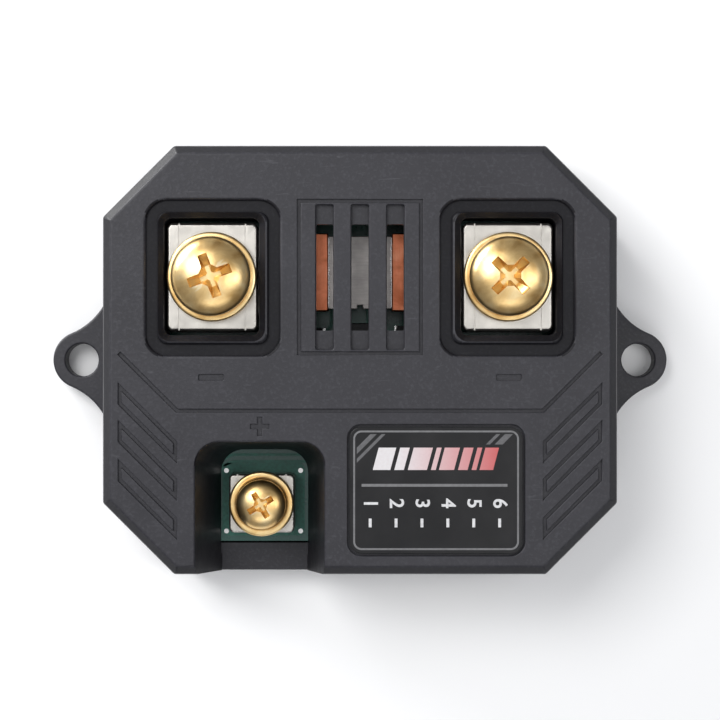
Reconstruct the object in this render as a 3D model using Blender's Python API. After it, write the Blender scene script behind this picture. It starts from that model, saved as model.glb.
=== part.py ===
"""Battery monitor shunt: a low-side current sensing module with two heavy
terminals, a bolted sense terminal and a six-way data socket.

Metres, +Z up.  The module lies on z = 0, its mounting ears point along X and
the data socket faces -Y.
"""

import math

import bmesh
import bpy

MM = 0.001

# Running gap kept between neighbouring pieces.
GAP = 0.3 * MM

# How far a cutter runs past the faces it opens.
OVERCUT = 1.0 * MM

# Octagonal case: half lengths and 45 degree corner at the widest outline.
CASE_HALF_X = 33.3 * MM
CASE_HALF_Y = 27.9 * MM
CASE_CORNER = 9.5 * MM
PARTING_INSET = 0.1 * MM

# Heights of the case.
FLOOR_TOP = 2.0 * MM
TRAY_TOP = 5.0 * MM
COVER_BOTTOM = TRAY_TOP + GAP
COVER_TOP = 19.0 * MM
CEILING = 16.8 * MM
TRAY_EDGE_CHAMFER = 0.5 * MM
COVER_DRAFT = 0.9 * MM
COVER_BEVEL_WIDTH = 1.1 * MM
COVER_BEVEL_HEIGHT = 1.0 * MM
TRAY_WALL = 2.0 * MM
COVER_WALL = 2.2 * MM

# Mounting ears.
EAR_HOLE_X = 37.1 * MM
EAR_RADIUS = 3.85 * MM
EAR_HOLE_RADIUS = 2.2 * MM
EAR_THICKNESS = 3.2 * MM
EAR_FILLET_RADIUS = 9.0 * MM
EAR_ROOT_X = 33.0 * MM

# Case screws, one at each corner, driven from below.
CASE_SCREW_X = 28.7 * MM
CASE_SCREW_Y = 18.2 * MM
PILLAR_RADIUS = 3.2 * MM
BOSS_RADIUS = 2.8 * MM
COUNTERBORE_RADIUS = 2.5 * MM
COUNTERBORE_DEPTH = 2.6 * MM
CASE_SCREW_HEAD_RADIUS = 2.1 * MM
CASE_SCREW_HEAD_BOTTOM = 0.5 * MM
CASE_SCREW_RIM = 0.5 * MM
CASE_SCREW_RADIUS = 1.2 * MM
CASE_SCREW_POINT = 1.2 * MM
CASE_SCREW_TIP = 12.0 * MM
CASE_SCREW_RECESS_DEPTH = 1.1 * MM
CASE_SCREW_CROSS_WIDE = (1.1 * MM, 0.45 * MM)
CASE_SCREW_CROSS_NARROW = (0.6 * MM, 0.3 * MM)

# Circuit board.
BOARD_BOTTOM = 4.0 * MM
BOARD_TOP = 5.6 * MM
BOARD_HALF_X = 30.2 * MM
BOARD_HALF_Y = 23.9 * MM
BOARD_CORNER = 11.9 * MM
ON_BOARD = BOARD_TOP + GAP
POST_X = 26.5 * MM
POST_Y = 6.0 * MM
POST_RADIUS = 2.0 * MM

# Heavy terminals.
TERMINAL_X = 18.7 * MM
TERMINAL_Y = 10.5 * MM
BLOCK_WIDTH = 11.4 * MM
BLOCK_LENGTH = 13.7 * MM
BLOCK_TOP = 17.0 * MM
BLOCK_EDGE = 0.4 * MM
BLOCK_CORNER = 0.5 * MM
LEG_SIDE = 1.4 * MM
LEG_HOLE = 2.1 * MM
LEG_FOOT = 3.2 * MM
LEG_SPREAD = 4.4 * MM
WASHER_THICKNESS = 1.1 * MM
WASHER_RADIUS = 5.65 * MM
WASHER_BORE = 3.1 * MM
WASHER_EDGE = 0.15 * MM
WELL_WIDTH = 12.0 * MM
WELL_LENGTH = 14.8 * MM
WELL_CORNER = 0.9 * MM
COLLAR_WALL = 1.6 * MM
COLLAR_BOTTOM = 13.0 * MM
WELL_GROOVE_X = 18.5 * MM
WELL_GROOVE_Y = 10.3 * MM
WELL_GROOVE_WIDTH = 16.8 * MM
WELL_GROOVE_LENGTH = 19.5 * MM
WELL_GROOVE_CORNER = 2.7 * MM
WELL_GROOVE_BAND = 1.4 * MM
WELL_GROOVE_DEPTH = 0.6 * MM

# Terminal screws: shank radius, head radius, head height, length under the head.
SCREW_SIZE = (2.75 * MM, 5.0 * MM, 3.4 * MM, 9.5 * MM)
SENSE_SCREW_SIZE = (1.75 * MM, 3.2 * MM, 2.4 * MM, 5.6 * MM)
SCREW_TURN = {"left": 20.0, "right": 45.0}
SENSE_SCREW_TURN = 30.0
SCREW_POINT_WIDTH = 0.4 * MM
SCREW_POINT_HEIGHT = 0.5 * MM
SCREW_RIM = 0.2 * MM

# Shares of the head's height where its dome starts and its recess ends.
DOME_START = 0.35
RECESS_FLOOR = 0.30
RECESS_TOP = 1.1

# Cross recess (arm, width) at its top and at its floor, as shares of the head radius.
CROSS_WIDE = (0.62, 0.24)
CROSS_NARROW = (0.28, 0.10)

# Sense terminal and the open notch it stands in.
SENSE_X = -12.75 * MM
SENSE_Y = -18.6 * MM
SENSE_BLOCK_WIDTH = 8.5 * MM
SENSE_BLOCK_LENGTH = 7.6 * MM
SENSE_BLOCK_TOP = 10.5 * MM
SENSE_LEG_SPREAD = 2.6 * MM
SENSE_WASHER_THICKNESS = 0.8 * MM
SENSE_WASHER_RADIUS = 4.2 * MM
SENSE_WASHER_BORE = 2.1 * MM
NOTCH_CENTER_X = -12.6 * MM
NOTCH_TOP_HALF = 8.15 * MM
NOTCH_TOP_END = -10.3 * MM
NOTCH_FLOOR_HALF = 5.75 * MM
NOTCH_FLOOR_END = -11.8 * MM
NOTCH_CORNER = 3.0 * MM
NOTCH_WALL = 1.6 * MM
SILL_NORTH = -24.2 * MM
SILL_OVERLAP = 1.0 * MM

# Measuring element: two copper bars joined by a manganin strip.
BAR_CENTER_Y = 11.3 * MM
BAR_WIDTH = 10.0 * MM
BAR_BOTTOM = 9.0 * MM
BAR_TOP = 12.5 * MM
BAR_INNER_X = 4.1 * MM
STRIP_HALF = 5.2 * MM
STRIP_WIDTH = 9.4 * MM
STRIP_BOTTOM = 10.2 * MM
STRIP_TOP = 11.3 * MM
TAP_HALF = 0.6 * MM
TAP_X = 2.9 * MM
TAP_OFFSET_Y = -2.6 * MM

# Ventilation panel.
VENT_Y = 10.4 * MM
VENT_PANEL_WIDTH = 15.8 * MM
VENT_PANEL_LENGTH = 19.6 * MM
VENT_GROOVE_WIDTH = 2.25 * MM
VENT_SLOT_WIDTH = 2.15 * MM
VENT_SLOT_LENGTH = 13.4 * MM
VENT_PITCH = 4.45 * MM
VENT_CHANNEL_LENGTH = 18.2 * MM
VENT_CHANNEL_DEPTH = 0.8 * MM

# Shallow lines moulded in the cover.
LINE_WIDTH = 0.45 * MM
LINE_DEPTH = 0.4 * MM
LINE_Y = -6.4 * MM
LINE_TURN_X = 23.0 * MM
LINE_END_X = 30.3 * MM
RIB_INNER_X = 23.0 * MM
RIB_OUTER_X = 30.4 * MM
RIB_CENTERS_Y = (-11.6 * MM, -16.3 * MM, -21.2 * MM)
RIB_HEIGHT = 2.7 * MM
MARK_DEPTH = 0.3 * MM
BAR_MARK_Y = -2.2 * MM
BAR_MARK_HALF_X = 1.6 * MM
BAR_MARK_HALF_Y = 0.4 * MM
PLUS_MARK_Y = -8.35 * MM
PLUS_MARK_ARM = 1.2 * MM
PLUS_MARK_WIDTH = 0.6 * MM

# Label in its recess.
LABEL_X = 9.55 * MM
LABEL_Y = -16.35 * MM
LABEL_WIDTH = 21.7 * MM
LABEL_LENGTH = 15.9 * MM
LABEL_CORNER = 1.5 * MM
LABEL_THICKNESS = 0.35 * MM
LABEL_RECESS_DEPTH = 0.6 * MM

# Data socket and its pins.
SOCKET_X = 9.4 * MM
SOCKET_WIDTH = 17.4 * MM
SOCKET_HEIGHT = 6.2 * MM
SOCKET_FRONT = -26.8 * MM
SOCKET_BACK = -18.6 * MM
SOCKET_WALL = 0.75 * MM
SOCKET_BACK_WALL = 1.6 * MM
SOCKET_WINDOW_DEPTH = 4.0 * MM
SOCKET_KEY_OFFSET = 4.6 * MM
SOCKET_KEY_WIDTH = 1.6 * MM
SOCKET_KEY_LENGTH = 4.0 * MM
SOCKET_KEY_RISE = 0.5 * MM
PIN_COUNT = 6
PIN_PITCH = 2.5 * MM
PIN_SIDE = 0.64 * MM
PIN_TIP = -24.1 * MM
PIN_HEEL = -17.0 * MM
PIN_HEIGHT = 9.0 * MM
PIN_FOOT = 3.2 * MM
PIN_HOLE = 1.3 * MM

# Moulded chips: place, body (width, length, height), leads a side, pitch, sides with leads.
CHIPS = {
    "controller_chip": ((8.6 * MM, -7.8 * MM), (7.0 * MM, 7.0 * MM, 1.5 * MM), 8, 0.8 * MM, 4),
    "amplifier_chip": ((0.0, 2.4 * MM), (3.9 * MM, 4.9 * MM, 1.6 * MM), 4, 1.27 * MM, 2),
    "transceiver_chip": ((23.6 * MM, -8.6 * MM), (3.9 * MM, 4.9 * MM, 1.6 * MM), 4, 1.27 * MM, 2),
    "regulator_chip": ((17.2 * MM, -6.0 * MM), (3.6 * MM, 6.5 * MM, 1.7 * MM), 3, 2.3 * MM, 2),
}
CHIP_LIFT = 0.1 * MM
CHIP_TAPER = 0.3 * MM
CHIP_CORNER = 0.1 * MM
LEAD_SHARE = 0.4
LEAD_REACH = 0.9 * MM
LEAD_ROOT = 0.4 * MM
LEAD_THICKNESS = 0.35 * MM

# Electrolytic capacitors: a can with a rolled neck, as (radius, height), on a square foot.
CAPACITORS = ((-26.0 * MM, -7.5 * MM), (22.2 * MM, -14.8 * MM))
CAPACITOR_FOOT_HALF = 3.3 * MM
CAPACITOR_FOOT_HEIGHT = 0.9 * MM
CAN_PROFILE = [(0, 0.5 * MM), (3.1 * MM, 0.5 * MM), (3.1 * MM, 1.5 * MM), (2.85 * MM, 1.9 * MM),
               (3.15 * MM, 2.3 * MM), (3.15 * MM, 7.4 * MM), (2.8 * MM, 7.7 * MM), (0, 7.7 * MM)]

# Quartz crystal in a drawn can.
CRYSTAL_PLACE = (-4.2 * MM, -4.6 * MM)
CRYSTAL_WIDTH = 10.8 * MM
CRYSTAL_LENGTH = 4.4 * MM
CRYSTAL_CORNER = 2.1 * MM
CRYSTAL_HEIGHT = 3.5 * MM

ROUND_STEPS = 32
SMALL_ROUND_STEPS = 20
CORNER_STEPS = 4
EAR_FILLET_STEPS = 8
EAR_END_STEPS = 14
DOME_STEPS = 8
SMOOTH_ANGLE = 35
MERGE_DISTANCE = 0.001 * MM


# ---------------------------------------------------------------- scene reset

for leftover in list(bpy.data.objects):
    bpy.data.objects.remove(leftover, do_unlink=True)


# ------------------------------------------------------------------- outlines

def octagon(half_x, half_y, corner, inset=0.0):
    """Counter-clockwise octagon, moved inward by inset on every side."""
    a = half_x - inset
    b = half_y - inset
    c = corner - inset * (2.0 - math.sqrt(2.0))
    return [(a, c - b), (a, b - c), (a - c, b), (c - a, b),
            (-a, b - c), (-a, c - b), (c - a, -b), (a - c, -b)]


def case_outline(inset):
    return octagon(CASE_HALF_X, CASE_HALF_Y, CASE_CORNER, inset)


def arc(center, radius, start, end, steps):
    """Points on a circle from start to end, in degrees, ends included."""
    points = []
    for step in range(steps + 1):
        angle = math.radians(start + (end - start) * step / steps)
        points.append((center[0] + radius * math.cos(angle),
                       center[1] + radius * math.sin(angle)))
    return points


def circle(center, radius, steps=ROUND_STEPS):
    return arc(center, radius, 0.0, 360.0, steps)[:-1]


def rounded_box(center, width, length, radius):
    """Counter-clockwise rectangle with rounded corners."""
    dx = width / 2 - radius
    dy = length / 2 - radius
    points = []
    for sx, sy, start in ((1, -1, -90), (1, 1, 0), (-1, 1, 90), (-1, -1, 180)):
        corner = (center[0] + sx * dx, center[1] + sy * dy)
        points += arc(corner, radius, start, start + 90, CORNER_STEPS)
    return points


def box(x0, x1, y0, y1):
    return [(x0, y0), (x1, y0), (x1, y1), (x0, y1)]


def cross(arm, width):
    """Plus-shaped outline about the origin."""
    w = width / 2
    return [(w, -arm), (w, -w), (arm, -w), (arm, w), (w, w), (w, arm),
            (-w, arm), (-w, w), (-arm, w), (-arm, -w), (-w, -w), (-w, -arm)]


def moved(outline, dx, dy):
    return [(x + dx, y + dy) for x, y in outline]


def mirrored(outline):
    """Outline reflected in X, with its direction kept."""
    return [(-x, y) for x, y in reversed(outline)]


# ------------------------------------------------------------- mesh functions

def stack(levels, axis="Z"):
    """Closed solid through outlines of equal length, given as (outline, height).

    Along Z an outline is (x, y); along X it is (y, z) and the height is x.
    """
    bm = bmesh.new()
    rings = []
    for outline, height in levels:
        ring = []
        for u, v in outline:
            place = (u, v, height) if axis == "Z" else (height, u, v)
            ring.append(bm.verts.new(place))
        rings.append(ring)
    for lower, upper in zip(rings, rings[1:]):
        for i in range(len(lower)):
            j = (i + 1) % len(lower)
            bm.faces.new((lower[i], lower[j], upper[j], upper[i]))
    bm.faces.new(list(reversed(rings[0])))
    bm.faces.new(rings[-1])
    return bm


def prism(outline, bottom, top, axis="Z"):
    return stack([(outline, bottom), (outline, top)], axis)


def band(outer, inner, bottom, top):
    """Closed solid between two outlines of equal length."""
    bm = bmesh.new()
    loops = []
    for outline, height in ((outer, bottom), (outer, top), (inner, top), (inner, bottom)):
        loops.append([bm.verts.new((x, y, height)) for x, y in outline])
    for first, second in zip(loops, loops[1:] + loops[:1]):
        for i in range(len(first)):
            j = (i + 1) % len(first)
            bm.faces.new((first[i], first[j], second[j], second[i]))
    return bm


def turned(profile, steps=ROUND_STEPS, closed=False):
    """Solid of revolution about Z from (radius, height) points.

    An open profile starts and ends on the axis; a closed one is a ring section.
    """
    bm = bmesh.new()
    verts = [bm.verts.new((radius, 0.0, height)) for radius, height in profile]
    edges = [bm.edges.new(pair) for pair in zip(verts, verts[1:])]
    if closed:
        edges.append(bm.edges.new((verts[-1], verts[0])))
    bmesh.ops.spin(bm, geom=verts + edges, axis=(0, 0, 1), cent=(0, 0, 0),
                   dvec=(0, 0, 0), angle=math.tau, steps=steps, use_merge=True)
    bmesh.ops.remove_doubles(bm, verts=bm.verts, dist=MERGE_DISTANCE)
    bmesh.ops.recalc_face_normals(bm, faces=bm.faces)
    return bm


def merged(pieces):
    """One bmesh that holds several closed pieces."""
    total = bmesh.new()
    for piece in pieces:
        scratch = bpy.data.meshes.new("scratch")
        piece.to_mesh(scratch)
        piece.free()
        total.from_mesh(scratch)
        bpy.data.meshes.remove(scratch)
    return total


# ----------------------------------------------------------- object functions

def make_object(name, bm, material=None, location=(0, 0, 0), smooth=False):
    mesh = bpy.data.meshes.new(name)
    bm.to_mesh(mesh)
    bm.free()
    if smooth:
        mesh.shade_smooth()
        mesh.set_sharp_from_angle(angle=math.radians(SMOOTH_ANGLE))
    obj = bpy.data.objects.new(name, mesh)
    obj.location = location
    bpy.context.scene.collection.objects.link(obj)
    if material is not None:
        mesh.materials.append(material)
    return obj


def make_tool(name, bm, location=(0, 0, 0)):
    """A cutter or an added block: a guide that is not a piece itself."""
    tool = make_object(name, bm, location=location)
    tool.hide_render = True
    tool.display_type = "WIRE"
    return tool


def combine(target, tool, operation):
    step = target.modifiers.new(tool.name, "BOOLEAN")
    step.operation = operation
    step.solver = "EXACT"
    step.object = tool


def cut(target, name, bm, location=(0, 0, 0)):
    combine(target, make_tool(name, bm, location), "DIFFERENCE")


def add(target, name, bm, location=(0, 0, 0)):
    combine(target, make_tool(name, bm, location), "UNION")


def make_material(name, color, roughness, metallic=0.0):
    material = bpy.data.materials.new(name)
    material.use_nodes = True
    shader = material.node_tree.nodes["Principled BSDF"]
    shader.inputs["Base Color"].default_value = (*color, 1.0)
    shader.inputs["Roughness"].default_value = roughness
    shader.inputs["Metallic"].default_value = metallic
    return material


CHARCOAL = make_material("charcoal_plastic", (0.058, 0.057, 0.066), 0.5)
BLACK = make_material("black_film", (0.02, 0.02, 0.022), 0.35)
GREEN = make_material("green_laminate", (0.01, 0.09, 0.05), 0.35)
BRASS = make_material("brass", (0.72, 0.50, 0.22), 0.28, 1.0)
TINNED = make_material("tinned_metal", (0.78, 0.76, 0.72), 0.32, 1.0)
COPPER = make_material("copper", (0.72, 0.33, 0.2), 0.35, 1.0)
MANGANIN = make_material("manganin", (0.42, 0.39, 0.37), 0.42, 1.0)
STEEL = make_material("zinc_steel", (0.55, 0.56, 0.58), 0.35, 1.0)
IVORY = make_material("ivory_nylon", (0.85, 0.83, 0.76), 0.45)
EPOXY = make_material("chip_epoxy", (0.025, 0.025, 0.028), 0.55)
CAN = make_material("capacitor_can", (0.6, 0.61, 0.63), 0.3, 1.0)

CASE_SCREWS = [(sx * CASE_SCREW_X, sy * CASE_SCREW_Y) for sx in (-1, 1) for sy in (-1, 1)]
SIDES = (("left", -1), ("right", 1))


# ----------------------------------------------------------------- base tray

def ear_outline():
    """Right-hand ear: a round end that flares into the case wall."""
    reach = EAR_HOLE_X - EAR_ROOT_X
    spread = math.sqrt((EAR_FILLET_RADIUS + EAR_RADIUS) ** 2
                       - (EAR_FILLET_RADIUS - reach) ** 2)
    flare = (EAR_ROOT_X + EAR_FILLET_RADIUS, spread)
    tilt = math.degrees(math.atan2(flare[1], flare[0] - EAR_HOLE_X))
    root = EAR_ROOT_X - OVERCUT
    points = [(root, -spread)]
    points += arc((flare[0], -spread), EAR_FILLET_RADIUS, 180, 180 - tilt, EAR_FILLET_STEPS)
    points += arc((EAR_HOLE_X, 0), EAR_RADIUS, -tilt, tilt, EAR_END_STEPS)[1:-1]
    points += arc(flare, EAR_FILLET_RADIUS, 180 + tilt, 180, EAR_FILLET_STEPS)
    points.append((root, spread))
    return points


def build_base_tray():
    levels = [(case_outline(TRAY_EDGE_CHAMFER), 0.0),
              (case_outline(0.0), TRAY_EDGE_CHAMFER),
              (case_outline(PARTING_INSET), TRAY_TOP)]
    tray = make_object("base_tray", stack(levels), CHARCOAL)

    low = FLOOR_TOP - OVERCUT
    high = TRAY_TOP + OVERCUT
    hollow = make_tool("tray_hollow", prism(case_outline(TRAY_WALL), FLOOR_TOP, high))
    pillars = [prism(circle(place, PILLAR_RADIUS), low, high + OVERCUT)
               for place in CASE_SCREWS]
    posts = [prism(circle((sx * POST_X, sy * POST_Y), POST_RADIUS, SMALL_ROUND_STEPS),
                   low, BOARD_BOTTOM - GAP)
             for sx in (-1, 1) for sy in (-1, 1)]
    cut(hollow, "tray_pillars", merged(pillars + posts))
    sill_half = NOTCH_FLOOR_HALF + SILL_OVERLAP
    sill = prism(box(NOTCH_CENTER_X - sill_half, NOTCH_CENTER_X + sill_half,
                     -CASE_HALF_Y, SILL_NORTH), low, high + OVERCUT)
    cut(hollow, "tray_sill", sill)
    combine(tray, hollow, "DIFFERENCE")

    ears = [prism(ear_outline(), 0.0, EAR_THICKNESS),
            prism(mirrored(ear_outline()), 0.0, EAR_THICKNESS)]
    add(tray, "ears", merged(ears))
    holes = [prism(circle((side * EAR_HOLE_X, 0), EAR_HOLE_RADIUS),
                   -OVERCUT, EAR_THICKNESS + OVERCUT) for _, side in SIDES]
    cut(tray, "ear_holes", merged(holes))

    bore_radius = CASE_SCREW_RADIUS + GAP
    profile = [(0, -OVERCUT), (COUNTERBORE_RADIUS, -OVERCUT),
               (COUNTERBORE_RADIUS, COUNTERBORE_DEPTH), (bore_radius, COUNTERBORE_DEPTH),
               (bore_radius, high), (0, high)]
    bores = []
    for place in CASE_SCREWS:
        bore = turned(profile, SMALL_ROUND_STEPS)
        bmesh.ops.translate(bore, verts=bore.verts, vec=(place[0], place[1], 0))
        bores.append(bore)
    cut(tray, "tray_screw_bores", merged(bores))


# ----------------------------------------------------------------- top cover

def notch_outline(height, margin=0.0):
    """Sense notch at a height: narrower toward the board, open to -Y."""
    rise = (height - ON_BOARD) / (COVER_TOP - ON_BOARD)
    half = NOTCH_FLOOR_HALF + (NOTCH_TOP_HALF - NOTCH_FLOOR_HALF) * rise + margin
    end = NOTCH_FLOOR_END + (NOTCH_TOP_END - NOTCH_FLOOR_END) * rise + margin
    mouth = -CASE_HALF_Y - 2 * OVERCUT
    points = [(NOTCH_CENTER_X - half, mouth), (NOTCH_CENTER_X + half, mouth)]
    points += arc((NOTCH_CENTER_X + half - NOTCH_CORNER, end - NOTCH_CORNER),
                  NOTCH_CORNER, 0, 90, CORNER_STEPS)
    points += arc((NOTCH_CENTER_X - half + NOTCH_CORNER, end - NOTCH_CORNER),
                  NOTCH_CORNER, 90, 180, CORNER_STEPS)
    return points


def cover_interior():
    """The hollow inside the cover, less everything that hangs from its top."""
    levels = [(case_outline(COVER_WALL), COVER_BOTTOM - OVERCUT),
              (case_outline(COVER_WALL + COVER_DRAFT), CEILING)]
    hollow = make_tool("cover_hollow", stack(levels))
    for name, side in SIDES:
        collar = rounded_box((side * TERMINAL_X, TERMINAL_Y), WELL_WIDTH + 2 * COLLAR_WALL,
                             WELL_LENGTH + 2 * COLLAR_WALL, WELL_CORNER + COLLAR_WALL)
        cut(hollow, "collar_" + name, prism(collar, COLLAR_BOTTOM, CEILING + OVERCUT))
    bosses = [prism(circle(place, BOSS_RADIUS), COVER_BOTTOM, CEILING + 2 * OVERCUT)
              for place in CASE_SCREWS]
    cut(hollow, "cover_bosses", merged(bosses))
    liner_top = CEILING + OVERCUT
    liner = stack([(notch_outline(ON_BOARD, NOTCH_WALL), ON_BOARD),
                   (notch_outline(liner_top, NOTCH_WALL), liner_top)])
    cut(hollow, "notch_liner", liner)
    return hollow


def line_strip(points, width):
    """Outline of a groove of the given width along an open line."""
    half = width / 2
    left = []
    right = []
    for i, (x, y) in enumerate(points):
        before = points[max(i - 1, 0)]
        after = points[min(i + 1, len(points) - 1)]
        directions = []
        for start, end in ((before, (x, y)), ((x, y), after)):
            length = math.hypot(end[0] - start[0], end[1] - start[1])
            if length > 0:
                directions.append(((end[0] - start[0]) / length, (end[1] - start[1]) / length))
        dx = sum(d[0] for d in directions) / len(directions)
        dy = sum(d[1] for d in directions) / len(directions)
        scale = half / (dx * dx + dy * dy)
        left.append((x - dy * scale, y + dx * scale))
        right.append((x + dy * scale, y - dx * scale))
    return right + left[::-1]


def rib_outline(center_y, inset):
    """Parallelogram that rises outward at 45 degrees, on the right side."""
    x0 = RIB_INNER_X + inset
    x1 = RIB_OUTER_X - inset
    half = RIB_HEIGHT / 2 - inset * math.sqrt(2.0)
    y0 = center_y + inset
    y1 = center_y + (RIB_OUTER_X - RIB_INNER_X) - inset
    return [(x0, y0 - half), (x1, y1 - half), (x1, y1 + half), (x0, y0 + half)]


def cover_lines():
    """Every shallow line cut in the cover's top face."""
    bottom = COVER_TOP - LINE_DEPTH
    top = COVER_TOP + OVERCUT
    rise = LINE_END_X - LINE_TURN_X
    route = [(-LINE_END_X, LINE_Y + rise), (-LINE_TURN_X, LINE_Y),
             (LINE_TURN_X, LINE_Y), (LINE_END_X, LINE_Y + rise)]
    pieces = [prism(line_strip(route, LINE_WIDTH), bottom, top)]
    for center_y in RIB_CENTERS_Y:
        outer = rib_outline(center_y, 0.0)
        inner = rib_outline(center_y, LINE_WIDTH)
        pieces.append(band(outer, inner, bottom, top))
        pieces.append(band(mirrored(outer), mirrored(inner), bottom, top))
    outer = box(-VENT_PANEL_WIDTH / 2, VENT_PANEL_WIDTH / 2,
                VENT_Y - VENT_PANEL_LENGTH / 2, VENT_Y + VENT_PANEL_LENGTH / 2)
    inner = box(-VENT_PANEL_WIDTH / 2 + LINE_WIDTH, VENT_PANEL_WIDTH / 2 - LINE_WIDTH,
                VENT_Y - VENT_PANEL_LENGTH / 2 + LINE_WIDTH,
                VENT_Y + VENT_PANEL_LENGTH / 2 - LINE_WIDTH)
    pieces.append(band(outer, inner, bottom, top))
    return merged(pieces)


def polarity_marks():
    """Bars under the heavy terminals and a plus sign above the sense notch."""
    bottom = COVER_TOP - MARK_DEPTH
    top = COVER_TOP + OVERCUT
    bar = box(-BAR_MARK_HALF_X, BAR_MARK_HALF_X, -BAR_MARK_HALF_Y, BAR_MARK_HALF_Y)
    pieces = [prism(moved(bar, side * TERMINAL_X, BAR_MARK_Y), bottom, top)
              for _, side in SIDES]
    plus = moved(cross(PLUS_MARK_ARM, PLUS_MARK_WIDTH), NOTCH_CENTER_X, PLUS_MARK_Y)
    pieces.append(prism(plus, bottom, top))
    return merged(pieces)


def build_top_cover():
    high = COVER_TOP + OVERCUT
    levels = [(case_outline(PARTING_INSET), COVER_BOTTOM),
              (case_outline(COVER_DRAFT), COVER_TOP - COVER_BEVEL_HEIGHT),
              (case_outline(COVER_DRAFT + COVER_BEVEL_WIDTH), COVER_TOP)]
    cover = make_object("top_cover", stack(levels), CHARCOAL)
    combine(cover, cover_interior(), "DIFFERENCE")

    wells = [prism(rounded_box((side * TERMINAL_X, TERMINAL_Y), WELL_WIDTH, WELL_LENGTH,
                               WELL_CORNER), COLLAR_BOTTOM - OVERCUT, high)
             for _, side in SIDES]
    cut(cover, "terminal_wells", merged(wells))
    grooves = []
    for _, side in SIDES:
        center = (side * WELL_GROOVE_X, WELL_GROOVE_Y)
        outer = rounded_box(center, WELL_GROOVE_WIDTH, WELL_GROOVE_LENGTH, WELL_GROOVE_CORNER)
        inner = rounded_box(center, WELL_GROOVE_WIDTH - 2 * WELL_GROOVE_BAND,
                            WELL_GROOVE_LENGTH - 2 * WELL_GROOVE_BAND,
                            WELL_GROOVE_CORNER - WELL_GROOVE_BAND)
        grooves.append(band(outer, inner, COVER_TOP - WELL_GROOVE_DEPTH, high))
    cut(cover, "well_grooves", merged(grooves))

    low = COVER_BOTTOM - OVERCUT
    cut(cover, "sense_notch", stack([(notch_outline(low), low), (notch_outline(high), high)]))

    centers = [step * VENT_PITCH for step in (-1, 0, 1)]
    channels = [prism(box(x - VENT_GROOVE_WIDTH / 2, x + VENT_GROOVE_WIDTH / 2,
                          VENT_Y - VENT_CHANNEL_LENGTH / 2, VENT_Y + VENT_CHANNEL_LENGTH / 2),
                      COVER_TOP - VENT_CHANNEL_DEPTH, high) for x in centers]
    cut(cover, "vent_channels", merged(channels))
    slots = [prism(box(x - VENT_SLOT_WIDTH / 2, x + VENT_SLOT_WIDTH / 2,
                       VENT_Y - VENT_SLOT_LENGTH / 2, VENT_Y + VENT_SLOT_LENGTH / 2),
                   CEILING - OVERCUT, high + OVERCUT) for x in centers]
    cut(cover, "vent_slots", merged(slots))

    cut(cover, "label_recess", prism(rounded_box((LABEL_X, LABEL_Y), LABEL_WIDTH + 2 * GAP,
                                                 LABEL_LENGTH + 2 * GAP, LABEL_CORNER + GAP),
                                     COVER_TOP - LABEL_RECESS_DEPTH, high))
    cut(cover, "cover_lines", cover_lines())
    cut(cover, "polarity_marks", polarity_marks())
    half = SOCKET_WIDTH / 2 + GAP
    cut(cover, "socket_window", prism(box(SOCKET_X - half, SOCKET_X + half,
                                          -CASE_HALF_Y - OVERCUT,
                                          -CASE_HALF_Y + SOCKET_WINDOW_DEPTH),
                                      low, ON_BOARD + SOCKET_HEIGHT + GAP))
    bores = [prism(circle(place, CASE_SCREW_RADIUS + GAP, SMALL_ROUND_STEPS),
                   low, CASE_SCREW_TIP + OVERCUT) for place in CASE_SCREWS]
    cut(cover, "cover_screw_bores", merged(bores))


# -------------------------------------------------------------- label, board

def build_label_plate():
    bottom = COVER_TOP - LABEL_RECESS_DEPTH + GAP
    outline = rounded_box((0, 0), LABEL_WIDTH, LABEL_LENGTH, LABEL_CORNER)
    make_object("label_plate", prism(outline, 0, LABEL_THICKNESS), BLACK,
                (LABEL_X, LABEL_Y, bottom))


def pin_positions():
    first = SOCKET_X - PIN_PITCH * (PIN_COUNT - 1) / 2
    return [first + PIN_PITCH * index for index in range(PIN_COUNT)]


def build_circuit_board():
    outline = octagon(BOARD_HALF_X, BOARD_HALF_Y, BOARD_CORNER)
    board = make_object("circuit_board", prism(outline, BOARD_BOTTOM, BOARD_TOP), GREEN)
    half = PIN_HOLE / 2
    low = BOARD_BOTTOM - OVERCUT
    high = BOARD_TOP + OVERCUT
    holes = [prism(box(x - half, x + half, PIN_HEEL - half, PIN_HEEL + half), low, high)
             for x in pin_positions()]
    for x, y in leg_positions():
        holes.append(prism(box(x - LEG_HOLE / 2, x + LEG_HOLE / 2,
                               y - LEG_HOLE / 2, y + LEG_HOLE / 2), low, high))
    cut(board, "board_holes", merged(holes))


# ----------------------------------------------------------------- terminals

def leg_positions():
    """Solder legs: four under each heavy terminal, two under the sense terminal."""
    places = []
    for _, side in SIDES:
        for sx in (-1, 1):
            for sy in (-1, 1):
                places.append((side * TERMINAL_X + sx * LEG_SPREAD, TERMINAL_Y + sy * LEG_SPREAD))
    for sx in (-1, 1):
        places.append((SENSE_X + sx * SENSE_LEG_SPREAD, SENSE_Y))
    return places


def build_block(name, center, width, length, top, bore_radius, legs):
    """Tinned terminal block with chamfered top edges, a bore and solder legs."""
    def level(inset):
        return rounded_box((0, 0), width - 2 * inset, length - 2 * inset, BLOCK_CORNER)
    levels = [(level(0), ON_BOARD), (level(0), top - BLOCK_EDGE), (level(BLOCK_EDGE), top)]
    block = make_object(name, stack(levels), TINNED, (center[0], center[1], 0))
    half = LEG_SIDE / 2
    feet = [prism(box(x - half, x + half, y - half, y + half), LEG_FOOT, ON_BOARD + OVERCUT)
            for x, y in legs]
    add(block, name + "_legs", merged(feet), block.location)
    bore = prism(circle((0, 0), bore_radius), ON_BOARD - OVERCUT, top + OVERCUT)
    cut(block, name + "_bore", bore, block.location)


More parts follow.
